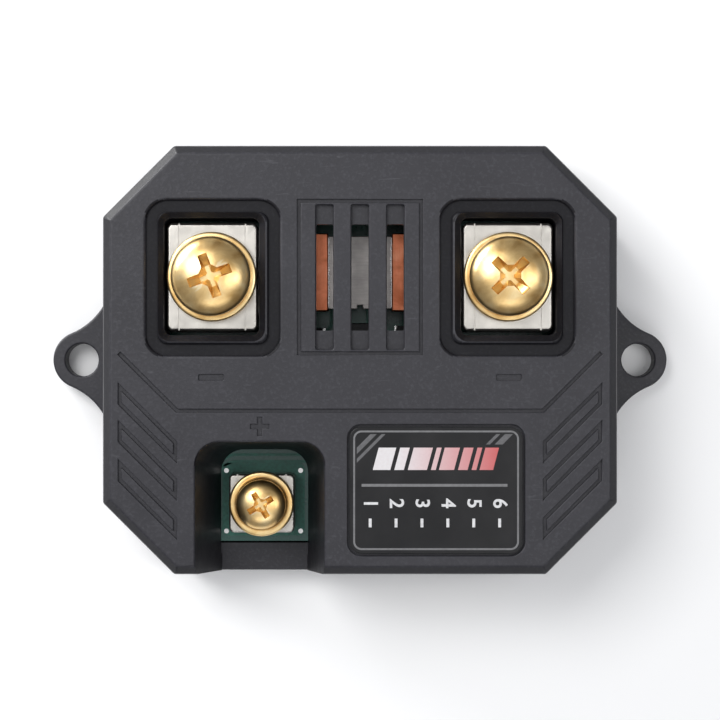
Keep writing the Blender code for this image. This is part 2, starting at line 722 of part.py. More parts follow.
def build_screw(name, place, seat, size, turn):
    """Pan head machine screw with a cross recess, its origin on its own axis."""
    shank, head, height, length = size
    tip = seat - length
    profile = [(0, tip), (shank - SCREW_POINT_WIDTH, tip), (shank, tip + SCREW_POINT_HEIGHT),
               (shank, seat), (head - SCREW_RIM, seat), (head, seat + SCREW_RIM)]
    for x, y in arc((0, 0), 1.0, 0, 90, DOME_STEPS):
        profile.append((head * x, seat + height * (DOME_START + (1 - DOME_START) * y)))
    profile[-1] = (0, seat + height)
    location = (place[0], place[1], 0)
    screw = make_object(name, turned(profile), BRASS, location, smooth=True)
    narrow = cross(head * CROSS_NARROW[0], head * CROSS_NARROW[1])
    wide = cross(head * CROSS_WIDE[0], head * CROSS_WIDE[1])
    recess = stack([(narrow, seat + height * RECESS_FLOOR), (wide, seat + height * RECESS_TOP)])
    cut(screw, name + "_recess", recess, location)
    screw.rotation_euler = (0, 0, math.radians(turn))
    bpy.data.objects[name + "_recess"].rotation_euler = screw.rotation_euler


def build_washer(name, place, bottom, inner, outer, thickness):
    profile = [(inner, 0), (outer - WASHER_EDGE, 0), (outer, WASHER_EDGE),
               (outer, thickness - WASHER_EDGE), (outer - WASHER_EDGE, thickness),
               (inner, thickness)]
    make_object(name, turned(profile, closed=True), BRASS, (place[0], place[1], bottom),
                smooth=True)


def build_terminals():
    legs = [(sx * LEG_SPREAD, sy * LEG_SPREAD) for sx in (-1, 1) for sy in (-1, 1)]
    for name, side in SIDES:
        place = (side * TERMINAL_X, TERMINAL_Y)
        build_block("terminal_block_" + name, place, BLOCK_WIDTH, BLOCK_LENGTH, BLOCK_TOP,
                    WASHER_BORE, legs)
        washer_bottom = BLOCK_TOP + GAP
        build_washer("terminal_washer_" + name, place, washer_bottom, WASHER_BORE,
                     WASHER_RADIUS, WASHER_THICKNESS)
        build_screw("terminal_screw_" + name, place, washer_bottom + WASHER_THICKNESS + GAP,
                    SCREW_SIZE, SCREW_TURN[name])
    place = (SENSE_X, SENSE_Y)
    legs = [(sx * SENSE_LEG_SPREAD, 0) for sx in (-1, 1)]
    build_block("sense_terminal_block", place, SENSE_BLOCK_WIDTH, SENSE_BLOCK_LENGTH,
                SENSE_BLOCK_TOP, SENSE_WASHER_BORE, legs)
    washer_bottom = SENSE_BLOCK_TOP + GAP
    build_washer("sense_terminal_washer", place, washer_bottom, SENSE_WASHER_BORE,
                 SENSE_WASHER_RADIUS, SENSE_WASHER_THICKNESS)
    build_screw("sense_terminal_screw", place, washer_bottom + SENSE_WASHER_THICKNESS + GAP,
                SENSE_SCREW_SIZE, SENSE_SCREW_TURN)


# --------------------------------------------------------- measuring element

def build_measuring_element():
    outer = TERMINAL_X - BLOCK_WIDTH / 2 - GAP
    low = BAR_CENTER_Y - BAR_WIDTH / 2
    high = BAR_CENTER_Y + BAR_WIDTH / 2
    for name, side in SIDES:
        edges = sorted((side * BAR_INNER_X, side * outer))
        bar = make_object("copper_bar_" + name,
                          prism(box(edges[0], edges[1], low, high), BAR_BOTTOM, BAR_TOP), COPPER)
        edges = sorted((side * (BAR_INNER_X - OVERCUT), side * (STRIP_HALF + GAP)))
        cut(bar, "strip_slot_" + name,
            prism(box(edges[0], edges[1], low - OVERCUT, high + OVERCUT),
                  STRIP_BOTTOM - GAP, STRIP_TOP + GAP))
    low = BAR_CENTER_Y - STRIP_WIDTH / 2
    high = BAR_CENTER_Y + STRIP_WIDTH / 2
    make_object("manganin_strip", prism(box(-STRIP_HALF, STRIP_HALF, low, high),
                                        STRIP_BOTTOM, STRIP_TOP), MANGANIN)
    for name, side in SIDES:
        tap = box(-TAP_HALF, TAP_HALF, -TAP_HALF, TAP_HALF)
        make_object("sense_tap_" + name, prism(tap, 0, STRIP_BOTTOM - GAP - ON_BOARD), TINNED,
                    (side * TAP_X, BAR_CENTER_Y + TAP_OFFSET_Y, ON_BOARD))


# -------------------------------------------------------------- data socket

def build_socket():
    half = SOCKET_WIDTH / 2
    top = ON_BOARD + SOCKET_HEIGHT
    shell = make_object("cable_socket",
                        prism(box(SOCKET_X - half, SOCKET_X + half, SOCKET_FRONT, SOCKET_BACK),
                              ON_BOARD, top), IVORY)
    cavity = prism(box(SOCKET_X - half + SOCKET_WALL, SOCKET_X + half - SOCKET_WALL,
                       SOCKET_FRONT - OVERCUT, SOCKET_BACK - SOCKET_BACK_WALL),
                   ON_BOARD + SOCKET_WALL, top - SOCKET_WALL)
    cut(shell, "socket_cavity", cavity)
    keys = [prism(box(x - SOCKET_KEY_WIDTH / 2, x + SOCKET_KEY_WIDTH / 2,
                      SOCKET_FRONT - OVERCUT, SOCKET_FRONT + SOCKET_KEY_LENGTH),
                  top - SOCKET_WALL - SOCKET_KEY_RISE, top + OVERCUT)
            for x in (SOCKET_X - SOCKET_KEY_OFFSET, SOCKET_X + SOCKET_KEY_OFFSET)]
    cut(shell, "socket_key_slots", merged(keys))
    hole = PIN_HOLE / 2
    holes = [prism(box(x - hole, x + hole, SOCKET_BACK - SOCKET_BACK_WALL - OVERCUT,
                       SOCKET_BACK + OVERCUT), PIN_HEIGHT - hole, PIN_HEIGHT + hole)
             for x in pin_positions()]
    cut(shell, "socket_pin_holes", merged(holes))

    r = PIN_SIDE / 2
    shape = [(PIN_TIP, PIN_HEIGHT - r), (PIN_HEEL - r, PIN_HEIGHT - r), (PIN_HEEL - r, PIN_FOOT),
             (PIN_HEEL + r, PIN_FOOT), (PIN_HEEL + r, PIN_HEIGHT + r), (PIN_TIP, PIN_HEIGHT + r)]
    for index, x in enumerate(pin_positions(), start=1):
        make_object("socket_pin_%d" % index, prism(shape, -r, r, axis="X"), BRASS, (x, 0, 0))


# --------------------------------------------------------- board components

def build_chip(name, place, body, leads_per_side, pitch, sides):
    """Moulded chip with flat leads on two or four sides."""
    width, length, height = body
    narrow = rounded_box((0, 0), width - CHIP_TAPER, length - CHIP_TAPER, CHIP_CORNER)
    wide = rounded_box((0, 0), width, length, CHIP_CORNER)
    levels = [(narrow, CHIP_LIFT), (wide, height / 2), (narrow, height)]
    chip = make_object(name, stack(levels), EPOXY, (place[0], place[1], ON_BOARD))
    lead_half = pitch * LEAD_SHARE / 2
    leads = []
    for index in range(leads_per_side):
        offset = (index - (leads_per_side - 1) / 2) * pitch
        for sign in (-1, 1):
            near, far = sorted((sign * (width / 2 - LEAD_ROOT), sign * (width / 2 + LEAD_REACH)))
            leads.append(prism(box(near, far, offset - lead_half, offset + lead_half),
                               0, LEAD_THICKNESS))
            if sides == 4:
                near, far = sorted((sign * (length / 2 - LEAD_ROOT),
                                    sign * (length / 2 + LEAD_REACH)))
                leads.append(prism(box(offset - lead_half, offset + lead_half, near, far),
                                   0, LEAD_THICKNESS))
    add(chip, name + "_leads", merged(leads), chip.location)


def build_capacitor(name, place):
    """Surface mount electrolytic capacitor: a rolled can on a square foot."""
    half = CAPACITOR_FOOT_HALF
    foot = prism(box(-half, half, -half, half), 0, CAPACITOR_FOOT_HEIGHT)
    capacitor = make_object(name, foot, CAN, (place[0], place[1], ON_BOARD))
    add(capacitor, name + "_can", turned(CAN_PROFILE, SMALL_ROUND_STEPS), capacitor.location)


def build_components():
    for name, (place, body, leads_per_side, pitch, sides) in CHIPS.items():
        build_chip(name, place, body, leads_per_side, pitch, sides)
    for index, place in enumerate(CAPACITORS, start=1):
        build_capacitor("filter_capacitor_%d" % index, place)
    crystal = rounded_box((0, 0), CRYSTAL_WIDTH, CRYSTAL_LENGTH, CRYSTAL_CORNER)
    make_object("timing_crystal", prism(crystal, 0, CRYSTAL_HEIGHT), STEEL,
                (CRYSTAL_PLACE[0], CRYSTAL_PLACE[1], ON_BOARD))


# --------------------------------------------------------------- case screws

def build_case_screws():
    seat = COUNTERBORE_DEPTH - GAP
    bottom = CASE_SCREW_HEAD_BOTTOM
    head = CASE_SCREW_HEAD_RADIUS
    profile = [(0, bottom), (head - CASE_SCREW_RIM, bottom), (head, bottom + CASE_SCREW_RIM),
               (head, seat), (CASE_SCREW_RADIUS, seat),
               (CASE_SCREW_RADIUS, CASE_SCREW_TIP - CASE_SCREW_POINT), (0, CASE_SCREW_TIP)]
    levels = [(cross(*CASE_SCREW_CROSS_WIDE), bottom - OVERCUT),
              (cross(*CASE_SCREW_CROSS_NARROW), bottom + CASE_SCREW_RECESS_DEPTH)]
    for index, place in enumerate(CASE_SCREWS, start=1):
        name = "case_screw_%d" % index
        location = (place[0], place[1], 0)
        screw = make_object(name, turned(profile, SMALL_ROUND_STEPS), STEEL, location, smooth=True)
        cut(screw, name + "_recess", stack(levels), location)


build_base_tray()
build_top_cover()
build_label_plate()
build_circuit_board()
build_terminals()
build_measuring_element()
build_socket()
build_components()
build_case_screws()
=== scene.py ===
"""Looks of the battery monitor shunt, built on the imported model.

Metres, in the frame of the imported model: +Z up, ears along X, data socket towards -Y.
"""

import math

import bmesh
import bpy
from mathutils import Matrix, Vector


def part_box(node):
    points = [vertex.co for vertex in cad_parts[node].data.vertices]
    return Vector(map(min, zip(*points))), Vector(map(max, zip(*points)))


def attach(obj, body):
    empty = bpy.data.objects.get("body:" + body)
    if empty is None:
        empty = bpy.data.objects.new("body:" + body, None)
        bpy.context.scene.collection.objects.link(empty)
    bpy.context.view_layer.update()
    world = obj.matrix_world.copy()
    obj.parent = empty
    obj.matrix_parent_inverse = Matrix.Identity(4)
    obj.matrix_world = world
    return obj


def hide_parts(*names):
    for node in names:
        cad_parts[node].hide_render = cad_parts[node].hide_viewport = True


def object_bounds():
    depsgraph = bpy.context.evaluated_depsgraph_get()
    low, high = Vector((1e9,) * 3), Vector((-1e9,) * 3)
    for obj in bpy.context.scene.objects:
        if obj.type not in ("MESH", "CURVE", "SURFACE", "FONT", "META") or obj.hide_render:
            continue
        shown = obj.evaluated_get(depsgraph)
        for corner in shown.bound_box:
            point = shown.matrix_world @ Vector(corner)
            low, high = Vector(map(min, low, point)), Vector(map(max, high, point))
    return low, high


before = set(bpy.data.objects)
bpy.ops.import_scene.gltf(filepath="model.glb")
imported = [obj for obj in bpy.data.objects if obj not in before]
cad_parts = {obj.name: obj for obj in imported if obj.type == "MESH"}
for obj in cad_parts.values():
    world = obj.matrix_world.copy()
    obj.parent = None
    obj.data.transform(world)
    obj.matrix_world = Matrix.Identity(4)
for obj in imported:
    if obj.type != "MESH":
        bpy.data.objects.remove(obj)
CAD_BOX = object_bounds()

MM = 0.001
HOUSING = "housing"

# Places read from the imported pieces.
TRAY_LOW, TRAY_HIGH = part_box("base_tray")
COVER_LOW, COVER_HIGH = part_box("top_cover")
BOARD_LOW, BOARD_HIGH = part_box("circuit_board")
LABEL_LOW, LABEL_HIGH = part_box("label_plate")
SOCKET_LOW, SOCKET_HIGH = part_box("cable_socket")
BLOCK_LOW, BLOCK_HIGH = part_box("terminal_block_right")
BAR_LOW, BAR_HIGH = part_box("copper_bar_right")
STRIP_LOW, STRIP_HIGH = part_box("manganin_strip")
COVER_TOP = COVER_HIGH.z
COVER_BOTTOM = COVER_LOW.z
TRAY_TOP = TRAY_HIGH.z
GAP = COVER_BOTTOM - TRAY_TOP
ON_BOARD = BOARD_HIGH.z + GAP

# Case.
CASE_HALF_X = COVER_HIGH.x + 0.1 * MM
CASE_HALF_Y = TRAY_HIGH.y
CASE_CORNER = 9.5 * MM
CEILING = COVER_TOP - 2.2 * MM
COVER_DRAFT = 0.9 * MM
COVER_BEVEL_WIDTH = 1.1 * MM
COVER_BEVEL_HEIGHT = 1.0 * MM
COVER_WALL = 2.2 * MM
TRAY_WALL = 2.0 * MM
TRAY_FLOOR = 2.0 * MM
TRAY_EDGE = 0.5 * MM
EDGE_ROUND = 0.22 * MM
LIP = 0.25 * MM
FINE_LIP = 0.1 * MM
LIP_STEPS = 3
PAST = 1.0 * MM  # how far a cutter reaches past the faces that it opens

# Ears.
EAR_HOLE_X = 37.1 * MM
EAR_RADIUS = TRAY_HIGH.x - EAR_HOLE_X
EAR_HOLE_RADIUS = 2.2 * MM
EAR_THICKNESS = 3.2 * MM
EAR_FILLET_RADIUS = 9.0 * MM
EAR_ROOT_X = 33.0 * MM
EAR_EDGE = 0.3 * MM

# Case screws and the bosses that take them.
CORNERS = [(sx, sy) for sx in (-1, 1) for sy in (-1, 1)]
CASE_SCREWS = [(sx * 28.7 * MM, sy * 18.2 * MM) for sx, sy in CORNERS]
CASE_SCREW_BORE = 1.5 * MM
BOSS_RADIUS = 2.8 * MM
BOSS_BORE_TOP = 13.0 * MM
PILLAR_RADIUS = 3.2 * MM
COUNTERBORE_RADIUS = 2.5 * MM
COUNTERBORE_DEPTH = 2.6 * MM
POST_X = 26.5 * MM
POST_Y = 6.0 * MM
POST_RADIUS = 2.0 * MM

# Wells.
TERMINAL_X = (BLOCK_LOW.x + BLOCK_HIGH.x) / 2
TERMINAL_Y = (BLOCK_LOW.y + BLOCK_HIGH.y) / 2
WELL_WIDTH = 12.0 * MM
WELL_LENGTH = 14.8 * MM
WELL_CORNER = 0.9 * MM
COLLAR_WALL = 1.6 * MM
COLLAR_BOTTOM = 13.0 * MM
GROOVE_X = 18.5 * MM
GROOVE_Y = 10.3 * MM
GROOVE_WIDTH = 16.8 * MM
GROOVE_LENGTH = 19.5 * MM
GROOVE_CORNER = 2.7 * MM
GROOVE_BAND = 1.4 * MM
GROOVE_DEPTH = 0.6 * MM
GROOVE_LIP = 0.4 * MM
FUNNEL_WIDTH = 0.8 * MM
FUNNEL_DEPTH = 0.75 * MM

# Sense notch.
NOTCH_X = -12.6 * MM
NOTCH_TOP_HALF = 8.15 * MM
NOTCH_TOP_END = -10.3 * MM
NOTCH_FLOOR_HALF = 5.75 * MM
NOTCH_FLOOR_END = -11.8 * MM
NOTCH_CORNER = 3.0 * MM
NOTCH_WALL = 1.6 * MM
SILL_NORTH = -24.2 * MM
SILL_MARGIN = 1.0 * MM

# Vent panel.
VENT_Y = 10.4 * MM
VENT_PANEL_WIDTH = 15.8 * MM
VENT_PANEL_LENGTH = 19.6 * MM
VENT_SLOT_WIDTH = 2.25 * MM
VENT_SLOT_LENGTH = 13.4 * MM
VENT_PITCH = 4.45 * MM
VENT_CHANNEL_LENGTH = 18.2 * MM
VENT_CHANNEL_DEPTH = 0.8 * MM

# Engraved lines.
LINE_WIDTH = 0.45 * MM
LINE_DEPTH = 0.4 * MM
LINE_Y = -6.4 * MM
LINE_TURN_X = 23.0 * MM
LINE_END_X = 30.3 * MM
RIB_INNER_X = 23.0 * MM
RIB_OUTER_X = 30.4 * MM
RIB_CENTERS_Y = (-11.6 * MM, -16.3 * MM, -21.2 * MM)
RIB_HEIGHT = 2.7 * MM
MARK_DEPTH = 0.3 * MM
MARK_LIP = 0.08 * MM
BAR_MARK_Y = -2.2 * MM
PLUS_MARK_Y = -8.35 * MM

# Label.
LABEL_X = (LABEL_LOW.x + LABEL_HIGH.x) / 2
LABEL_Y = (LABEL_LOW.y + LABEL_HIGH.y) / 2
LABEL_WIDTH = LABEL_HIGH.x - LABEL_LOW.x
LABEL_LENGTH = LABEL_HIGH.y - LABEL_LOW.y
LABEL_CORNER = 1.5 * MM
LABEL_RECESS_DEPTH = 0.6 * MM
INK = 0.015 * MM
STRIPE_INSET = 0.9 * MM
STRIPE_REACH = 1.3 * MM
TITLE_BARS = ((2.2, 0.5), (1.2, 0.5), (2.4, 0.5), (0.6, 0.4), (1.9, 0.5), (1.2, 0.5),
              (0.6, 0.4), (1.7, 0.5))  # width and gap of each, in millimetres
PIN_NUMBER_SPREAD = 1.3

# Terminal hardware.
HEAVY_BORE = 3.1 * MM
HEAVY_PITCH = 1.0 * MM
HEAVY_HEAD = 3.37 * MM
HEAVY_TURNS = {"left": 20.0, "right": 45.0}  # how each cross recess lies, in degrees
SENSE_BORE = 2.1 * MM
SENSE_PITCH = 0.7 * MM
SENSE_HEAD = 2.38 * MM
SENSE_TURN = 30.0
THREAD_STEPS = 48
THREAD_ROWS = 10  # rows to each pitch
THREAD_DEPTH = 0.42  # of the pitch

# Solder legs of the blocks.
LEG_SIDE = 1.4 * MM
HEAVY_LEG_SPREAD = 4.4 * MM
SENSE_LEG_SPREAD = 2.6 * MM
FILLET = ((0.75, 0.715), (0.95, 0.44), (1.25, 0.22), (1.7, 0.066), (1.75, 0.011),
          (0.75, 0.011))  # radius and depth, in millimetres

# Data socket.
SOCKET_X = (SOCKET_LOW.x + SOCKET_HIGH.x) / 2
SOCKET_WALL = 0.75 * MM
SOCKET_BACK_WALL = 1.6 * MM
WINDOW_DEPTH = 4.0 * MM
PIN_SIDE = 0.64 * MM
PIN_BEND = 0.5 * MM
KEY_SPREAD = 4.6 * MM
PINS = ["socket_pin_%d" % index for index in range(1, 7)]

SIDES = (("left", -1), ("right", 1))

# Chip leads, and the middles of the small resistors in millimetres.
LEAD_REACH = 0.9 * MM
RESISTORS_ALONG_X = ((-5.6, 3.6), (5.6, 3.9), (5.4, 1.6), (15.5, -11.8), (12.5, -13.6), (8.0, -13.6),
    (-24.0, 0.4), (-24.0, -2.0))
RESISTORS_ALONG_Y = ((-5.6, 1.2), (0.5, -12.6), (-1.6, -12.6), (24.8, -4.4), (26.8, -4.4))


# ---- outlines

def arc(center, radius, start, end, steps):
    """Points on a circle from start to end, in degrees, ends included."""
    points = []
    for step in range(steps + 1):
        angle = math.radians(start + (end - start) * step / steps)
        points.append((center[0] + radius * math.cos(angle), center[1] + radius * math.sin(angle)))
    return points


def circle(center, radius, steps=48):
    return arc(center, radius, 0.0, 360.0, steps)[:-1]


def case_outline(inset):
    """Octagon of the case, moved inward by inset on every side."""
    a = CASE_HALF_X - inset
    b = CASE_HALF_Y - inset
    c = CASE_CORNER - inset * (2.0 - math.sqrt(2.0))
    return [(a, c - b), (a, b - c), (a - c, b), (c - a, b), (-a, b - c), (-a, c - b), (c - a, -b),
        (a - c, -b)]


def box(x0, x1, y0, y1):
    return [(x0, y0), (x1, y0), (x1, y1), (x0, y1)]


def rounded_box(center, width, length, radius, steps=8):
    dx = width / 2 - radius
    dy = length / 2 - radius
    points = []
    for sx, sy, start in ((1, -1, -90), (1, 1, 0), (-1, 1, 90), (-1, -1, 180)):
        corner = (center[0] + sx * dx, center[1] + sy * dy)
        points += arc(corner, radius, start, start + 90, steps)
    return points


def grown_box(center, width, length, radius, steps=8):
    """A rounded box as a function of the margin it has grown by."""
    def outline_at(margin):
        return rounded_box(center, width + 2 * margin, length + 2 * margin, radius + margin, steps)
    return outline_at


def cross(arm, width, chamfer):
    """Plus-shaped outline about the origin with chamfered inner corners."""
    w = width / 2
    c = w + chamfer
    points = []
    for cosine, sine in ((1, 0), (0, 1), (-1, 0), (0, -1)):
        for x, y in ((w, -arm), (w, -c), (c, -w), (arm, -w)):
            points.append((x * cosine - y * sine, x * sine + y * cosine))
    return points


def moved(outline, dx, dy):
    return [(x + dx, y + dy) for x, y in outline]


def mirrored(outline):
    return [(-x, y) for x, y in reversed(outline)]


def placed(node):
    """Low corner, high corner and middle (x, y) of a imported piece."""
    low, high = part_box(node)
    return low, high, ((low.x + high.x) / 2, (low.y + high.y) / 2)


# ---- mesh functions

def close_rings(bm, rings):
    """Faces between each ring of vertices and the next, and over both ends."""
    for lower, upper in zip(rings, rings[1:]):
        for i in range(len(lower)):
            j = (i + 1) % len(lower)
            bm.faces.new((lower[i], lower[j], upper[j], upper[i]))
    bm.faces.new(list(reversed(rings[0])))
    bm.faces.new(rings[-1])


def stack(levels, axis="Z"):
    """Closed solid through outlines of equal length, given as (outline, height)."""
    bm = bmesh.new()
    rings = []
    for outline, height in levels:
        places = [(u, v, height) if axis == "Z" else (v, height, u) for u, v in outline]
        rings.append([bm.verts.new(place) for place in places])
    close_rings(bm, rings)
    return bm


def prism(outline, bottom, top):
    return stack([(outline, bottom), (outline, top)])


def prism_along_y(profile, start, end):
    """Solid with the given (x, z) profile."""
    bm = stack([([(z, x) for x, z in profile], height) for height in (start, end)], "Y")
    bmesh.ops.recalc_face_normals(bm, faces=bm.faces)
    return bm


def brick(low, high):
    """Box between two opposite corners."""
    return prism(box(low[0], high[0], low[1], high[1]), low[2], high[2])


def rings_to_band(loops):
    """Closed solid through a closed circuit of outlines, each already in 3-D."""
    bm = bmesh.new()
    loops = [[bm.verts.new(place) for place in loop] for loop in loops]
    for first, second in zip(loops, loops[1:] + loops[:1]):
        for i in range(len(first)):
            j = (i + 1) % len(first)
            bm.faces.new((first[i], first[j], second[j], second[i]))
    bmesh.ops.recalc_face_normals(bm, faces=bm.faces)
    return bm


def band(outer, inner, bottom, top):
    """Upright ring between two outlines of equal length."""
    loops = []
    for outline, height in ((outer, bottom), (outer, top), (inner, top), (inner, bottom)):
        loops.append([(x, y, height) for x, y in outline])
    return rings_to_band(loops)


def lip_levels(top, lip):
    """(margin, height) pairs of a quarter round that opens a cutter at its top."""
    pairs = []
    for step in range(LIP_STEPS + 1):
        angle = math.radians(90 * step / LIP_STEPS)
        pairs.append((lip * (1 - math.cos(angle)), top - lip * (1 - math.sin(angle))))
    pairs.append((lip, top + PAST))
    return pairs


def lipped(outline_at, bottom, top, lip=LIP):
    """Cutter with a rounded rim; outline_at(margin) is its outline grown by margin."""
    levels = [(outline_at(0.0), bottom)]
    levels += [(outline_at(margin), height) for margin, height in lip_levels(top, lip)]
    return stack(levels)


def lipped_band(outer_at, inner_at, bottom, top, lip=FINE_LIP):
    """Ring-shaped cutter with rounded rims; both functions grow the groove by margin."""
    rims = lip_levels(top, lip)
    loops = [[(x, y, bottom) for x, y in outer_at(0.0)]]
    loops += [[(x, y, height) for x, y in outer_at(margin)] for margin, height in rims]
    loops += [[(x, y, height) for x, y in inner_at(margin)] for margin, height in reversed(rims)]
    loops.append([(x, y, bottom) for x, y in inner_at(0.0)])
    return rings_to_band(loops)


def turned(profile, steps=64, closed=False):
    """Solid of revolution about Z from (radius, height) points."""
    bm = bmesh.new()
    verts = [bm.verts.new((radius, 0.0, height)) for radius, height in profile]
    edges = [bm.edges.new(pair) for pair in zip(verts, verts[1:])]
    if closed:
        edges.append(bm.edges.new((verts[-1], verts[0])))
    bmesh.ops.spin(bm, geom=verts + edges, axis=(0, 0, 1), cent=(0, 0, 0), dvec=(0, 0, 0),
        angle=math.tau, steps=steps, use_merge=True)
    bmesh.ops.remove_doubles(bm, verts=bm.verts, dist=0.001 * MM)
    bmesh.ops.recalc_face_normals(bm, faces=bm.faces)
    return bm


def merged(pieces):
    total = bmesh.new()
    for piece in pieces:
        scratch = bpy.data.meshes.new("scratch")
        piece.to_mesh(scratch)
        piece.free()
        total.from_mesh(scratch)
        bpy.data.meshes.remove(scratch)
    return total


def shifted(bm, x, y, z=0.0):
    bmesh.ops.translate(bm, verts=bm.verts, vec=(x, y, z))
    return bm


def rotated(bm, degrees):
    turn = Matrix.Rotation(math.radians(degrees), 3, "Z")
    bmesh.ops.rotate(bm, verts=bm.verts, cent=(0, 0, 0), matrix=turn)
    return bm


# ---- object functions

def add(name, data):
    obj = bpy.data.objects.new(name, data)
    bpy.context.scene.collection.objects.link(obj)
    return obj


def link(name, bm):
    """An object of a mesh, or of a list of meshes."""
    if isinstance(bm, list):
        bm = merged(bm)
    mesh = bpy.data.meshes.new(name)
    bm.to_mesh(mesh)
    bm.free()
    return add(name, mesh)


def combined(base, steps):
    """The base mesh after each (operation, bmesh) Boolean step in turn."""
    body = link("body", base)
    tools = []
    for operation, bm in steps:
        tool = link("tool", bm)
        tool.hide_render = True
        step = body.modifiers.new("step", "BOOLEAN")
        step.operation = operation
        step.solver = "EXACT"
        step.object = tool
        tools.append(tool)
    bpy.context.view_layer.update()
    depsgraph = bpy.context.evaluated_depsgraph_get()
    result = bmesh.new()
    result.from_mesh(body.evaluated_get(depsgraph).to_mesh())
    for obj in [body] + tools:
        bpy.data.objects.remove(obj, do_unlink=True)
    bmesh.ops.remove_doubles(result, verts=result.verts, dist=0.0005 * MM)
    return result


def cut(base, *cutters):
    return combined(base, [("DIFFERENCE", cutter) for cutter in cutters])


def finish_piece(name, bm, materials, body=HOUSING, slot=None, replaces=(), smooth=35.0,
        location=(0, 0, 0), bevel=0.0):
    """A finished piece: shaded, with materials, riding its body."""
    obj = link(name, bm)
    obj.location = location
    for material in materials if isinstance(materials, list) else [materials]:
        obj.data.materials.append(material)
    if bevel:
        edge = obj.modifiers.new("edge", "BEVEL")
        edge.width = bevel
        edge.segments = 2
        edge.limit_method = "ANGLE"
        edge.angle_limit = math.radians(30)
    obj.data.shade_smooth()
    obj.data.set_sharp_from_angle(angle=math.radians(smooth))
    if not bevel:
        weighted = obj.modifiers.new("normals", "WEIGHTED_NORMAL")
        weighted.keep_sharp = True
        weighted.weight = 100
        weighted.thresh = 0.0
    bpy.context.view_layer.update()
    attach(obj, body)
    if replaces:
        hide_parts(*replaces)
    return obj


def replace_piece(node, suffix, bm, materials, slot, **how):
    """The detailed piece in the place of a packed one, named after it."""
    finish_piece(node + "_" + suffix, bm, materials, slot=slot, replaces=[node], **how)


# ---- materials

class Finish:
    """A Principled material with helpers for its procedural inputs."""

    def __init__(self, name, roughness=0.5, metallic=0.0, **inputs):
        self.material = bpy.data.materials.new(name)
        self.material.use_nodes = True
        self.nodes = self.material.node_tree.nodes
        self.links = self.material.node_tree.links
        self.shader = self.nodes["Principled BSDF"]
        self.shader.inputs["Roughness"].default_value = roughness
        self.shader.inputs["Metallic"].default_value = metallic
        for label, value in inputs.items():
            self.shader.inputs[label.replace("_", " ")].default_value = value
        self.coordinates = self.nodes.new("ShaderNodeTexCoord").outputs["Object"]

    def node(self, kind, *inputs):
        """A node whose (input, value) pairs are linked, or set where the value is no socket."""
        node = self.nodes.new("ShaderNode" + kind)
        self.feed(node, *inputs)
        return node

    def feed(self, node, *inputs):
        for key, value in inputs:
            if isinstance(value, bpy.types.NodeSocket):
                self.links.new(value, node.inputs[key])
            else:
                node.inputs[key].default_value = (*value, 1.0) if isinstance(value, tuple) else value

    def mapping(self, stretch):
        """Object coordinates in millimetres, times stretch."""
        scale = [1000.0 * factor for factor in stretch]
        return self.node("Mapping", ("Scale", scale), ("Vector", self.coordinates)).outputs["Vector"]

    def noise(self, scale, detail=4.0, stretch=(1, 1, 1), distortion=0.0):
        """Noise with the given number of cells to the millimetre."""
        return self.node("TexNoise", ("Scale", scale), ("Detail", detail), ("Distortion", distortion),
            ("Vector", self.mapping(stretch))).outputs["Fac"]

    def rings(self, scale):
        """Turning marks: rings about the object's Z axis."""
        node = self.node("TexWave", ("Scale", scale), ("Distortion", 0.3), ("Detail", 2.0),
            ("Vector", self.mapping((1, 1, 1))))
        node.wave_type = "RINGS"
        node.rings_direction = "Z"
        return node.outputs["Fac"]

    def scale_value(self, value, low, high, low_from=0.0, high_from=1.0):
        return self.node("MapRange", ("From Min", low_from), ("From Max", high_from), ("To Min", low),
            ("To Max", high), ("Value", value)).outputs["Result"]

    def ramp(self, value, stops):
        node = self.node("ValToRGB", ("Fac", value))
        elements = node.color_ramp.elements
        while len(elements) < len(stops):
            elements.new(0.5)
        for element, (position, color) in zip(elements, stops):
            element.position = position
            element.color = (*color, 1.0)
        return node.outputs["Color"]

    def mix(self, factor, first, second, blend="MIX"):
        node = self.nodes.new("ShaderNodeMix")
        node.data_type = "RGBA"
        node.blend_type = blend
        self.feed(node, (0, factor), (6, first), (7, second))
        return node.outputs[2]

    def color(self, value):
        self.links.new(value, self.shader.inputs["Base Color"])

    def roughness(self, value):
        self.links.new(value, self.shader.inputs["Roughness"])

    def bump(self, *layers):
        """Bump from (height, distance in millimetres, strength) layers."""
        normal = None
        for height, distance, strength in layers:
            node = self.node("Bump", ("Distance", distance * MM), ("Strength", strength),
                ("Height", height))
            if normal is not None:
                self.links.new(normal, node.inputs["Normal"])
            normal = node.outputs["Normal"]
        self.links.new(normal, self.shader.inputs["Normal"])


def case_plastic(name, shade, specular, grain_height, smoothest, roughest):
    """Moulded plastic; shade scales its colour, so the darker recess and bevel copies are painted
    shade; their grain is finer too.
    """
    f = Finish(name, Specular_IOR_Level=specular)
    tones = [tuple(shade * channel for channel in color) for color in ((0.020, 0.0195, 0.0245),
        (0.027, 0.0265, 0.0325), (0.07, 0.07, 0.082), (0.085, 0.085, 0.095))]
    grain = f.noise(2.6, detail=3)
    tone = f.ramp(f.noise(0.1, detail=5), [(0.3, tones[0]), (0.7, tones[1])])
    speck = f.mix(f.scale_value(grain, 0.0, 0.3, 0.5, 0.75), tone, tones[2])
    scuff = f.noise(1.0, detail=7, stretch=(0.25, 2.2, 1.0), distortion=0.8)
    f.color(f.mix(f.scale_value(scuff, 0.0, 0.35, 0.66, 0.74), speck, tones[3]))
    f.roughness(f.scale_value(f.noise(0.5, detail=6), smoothest, roughest))
    f.bump((grain, grain_height, 0.5), (f.noise(9.0, detail=2), 0.01, 0.3))
    return f.material


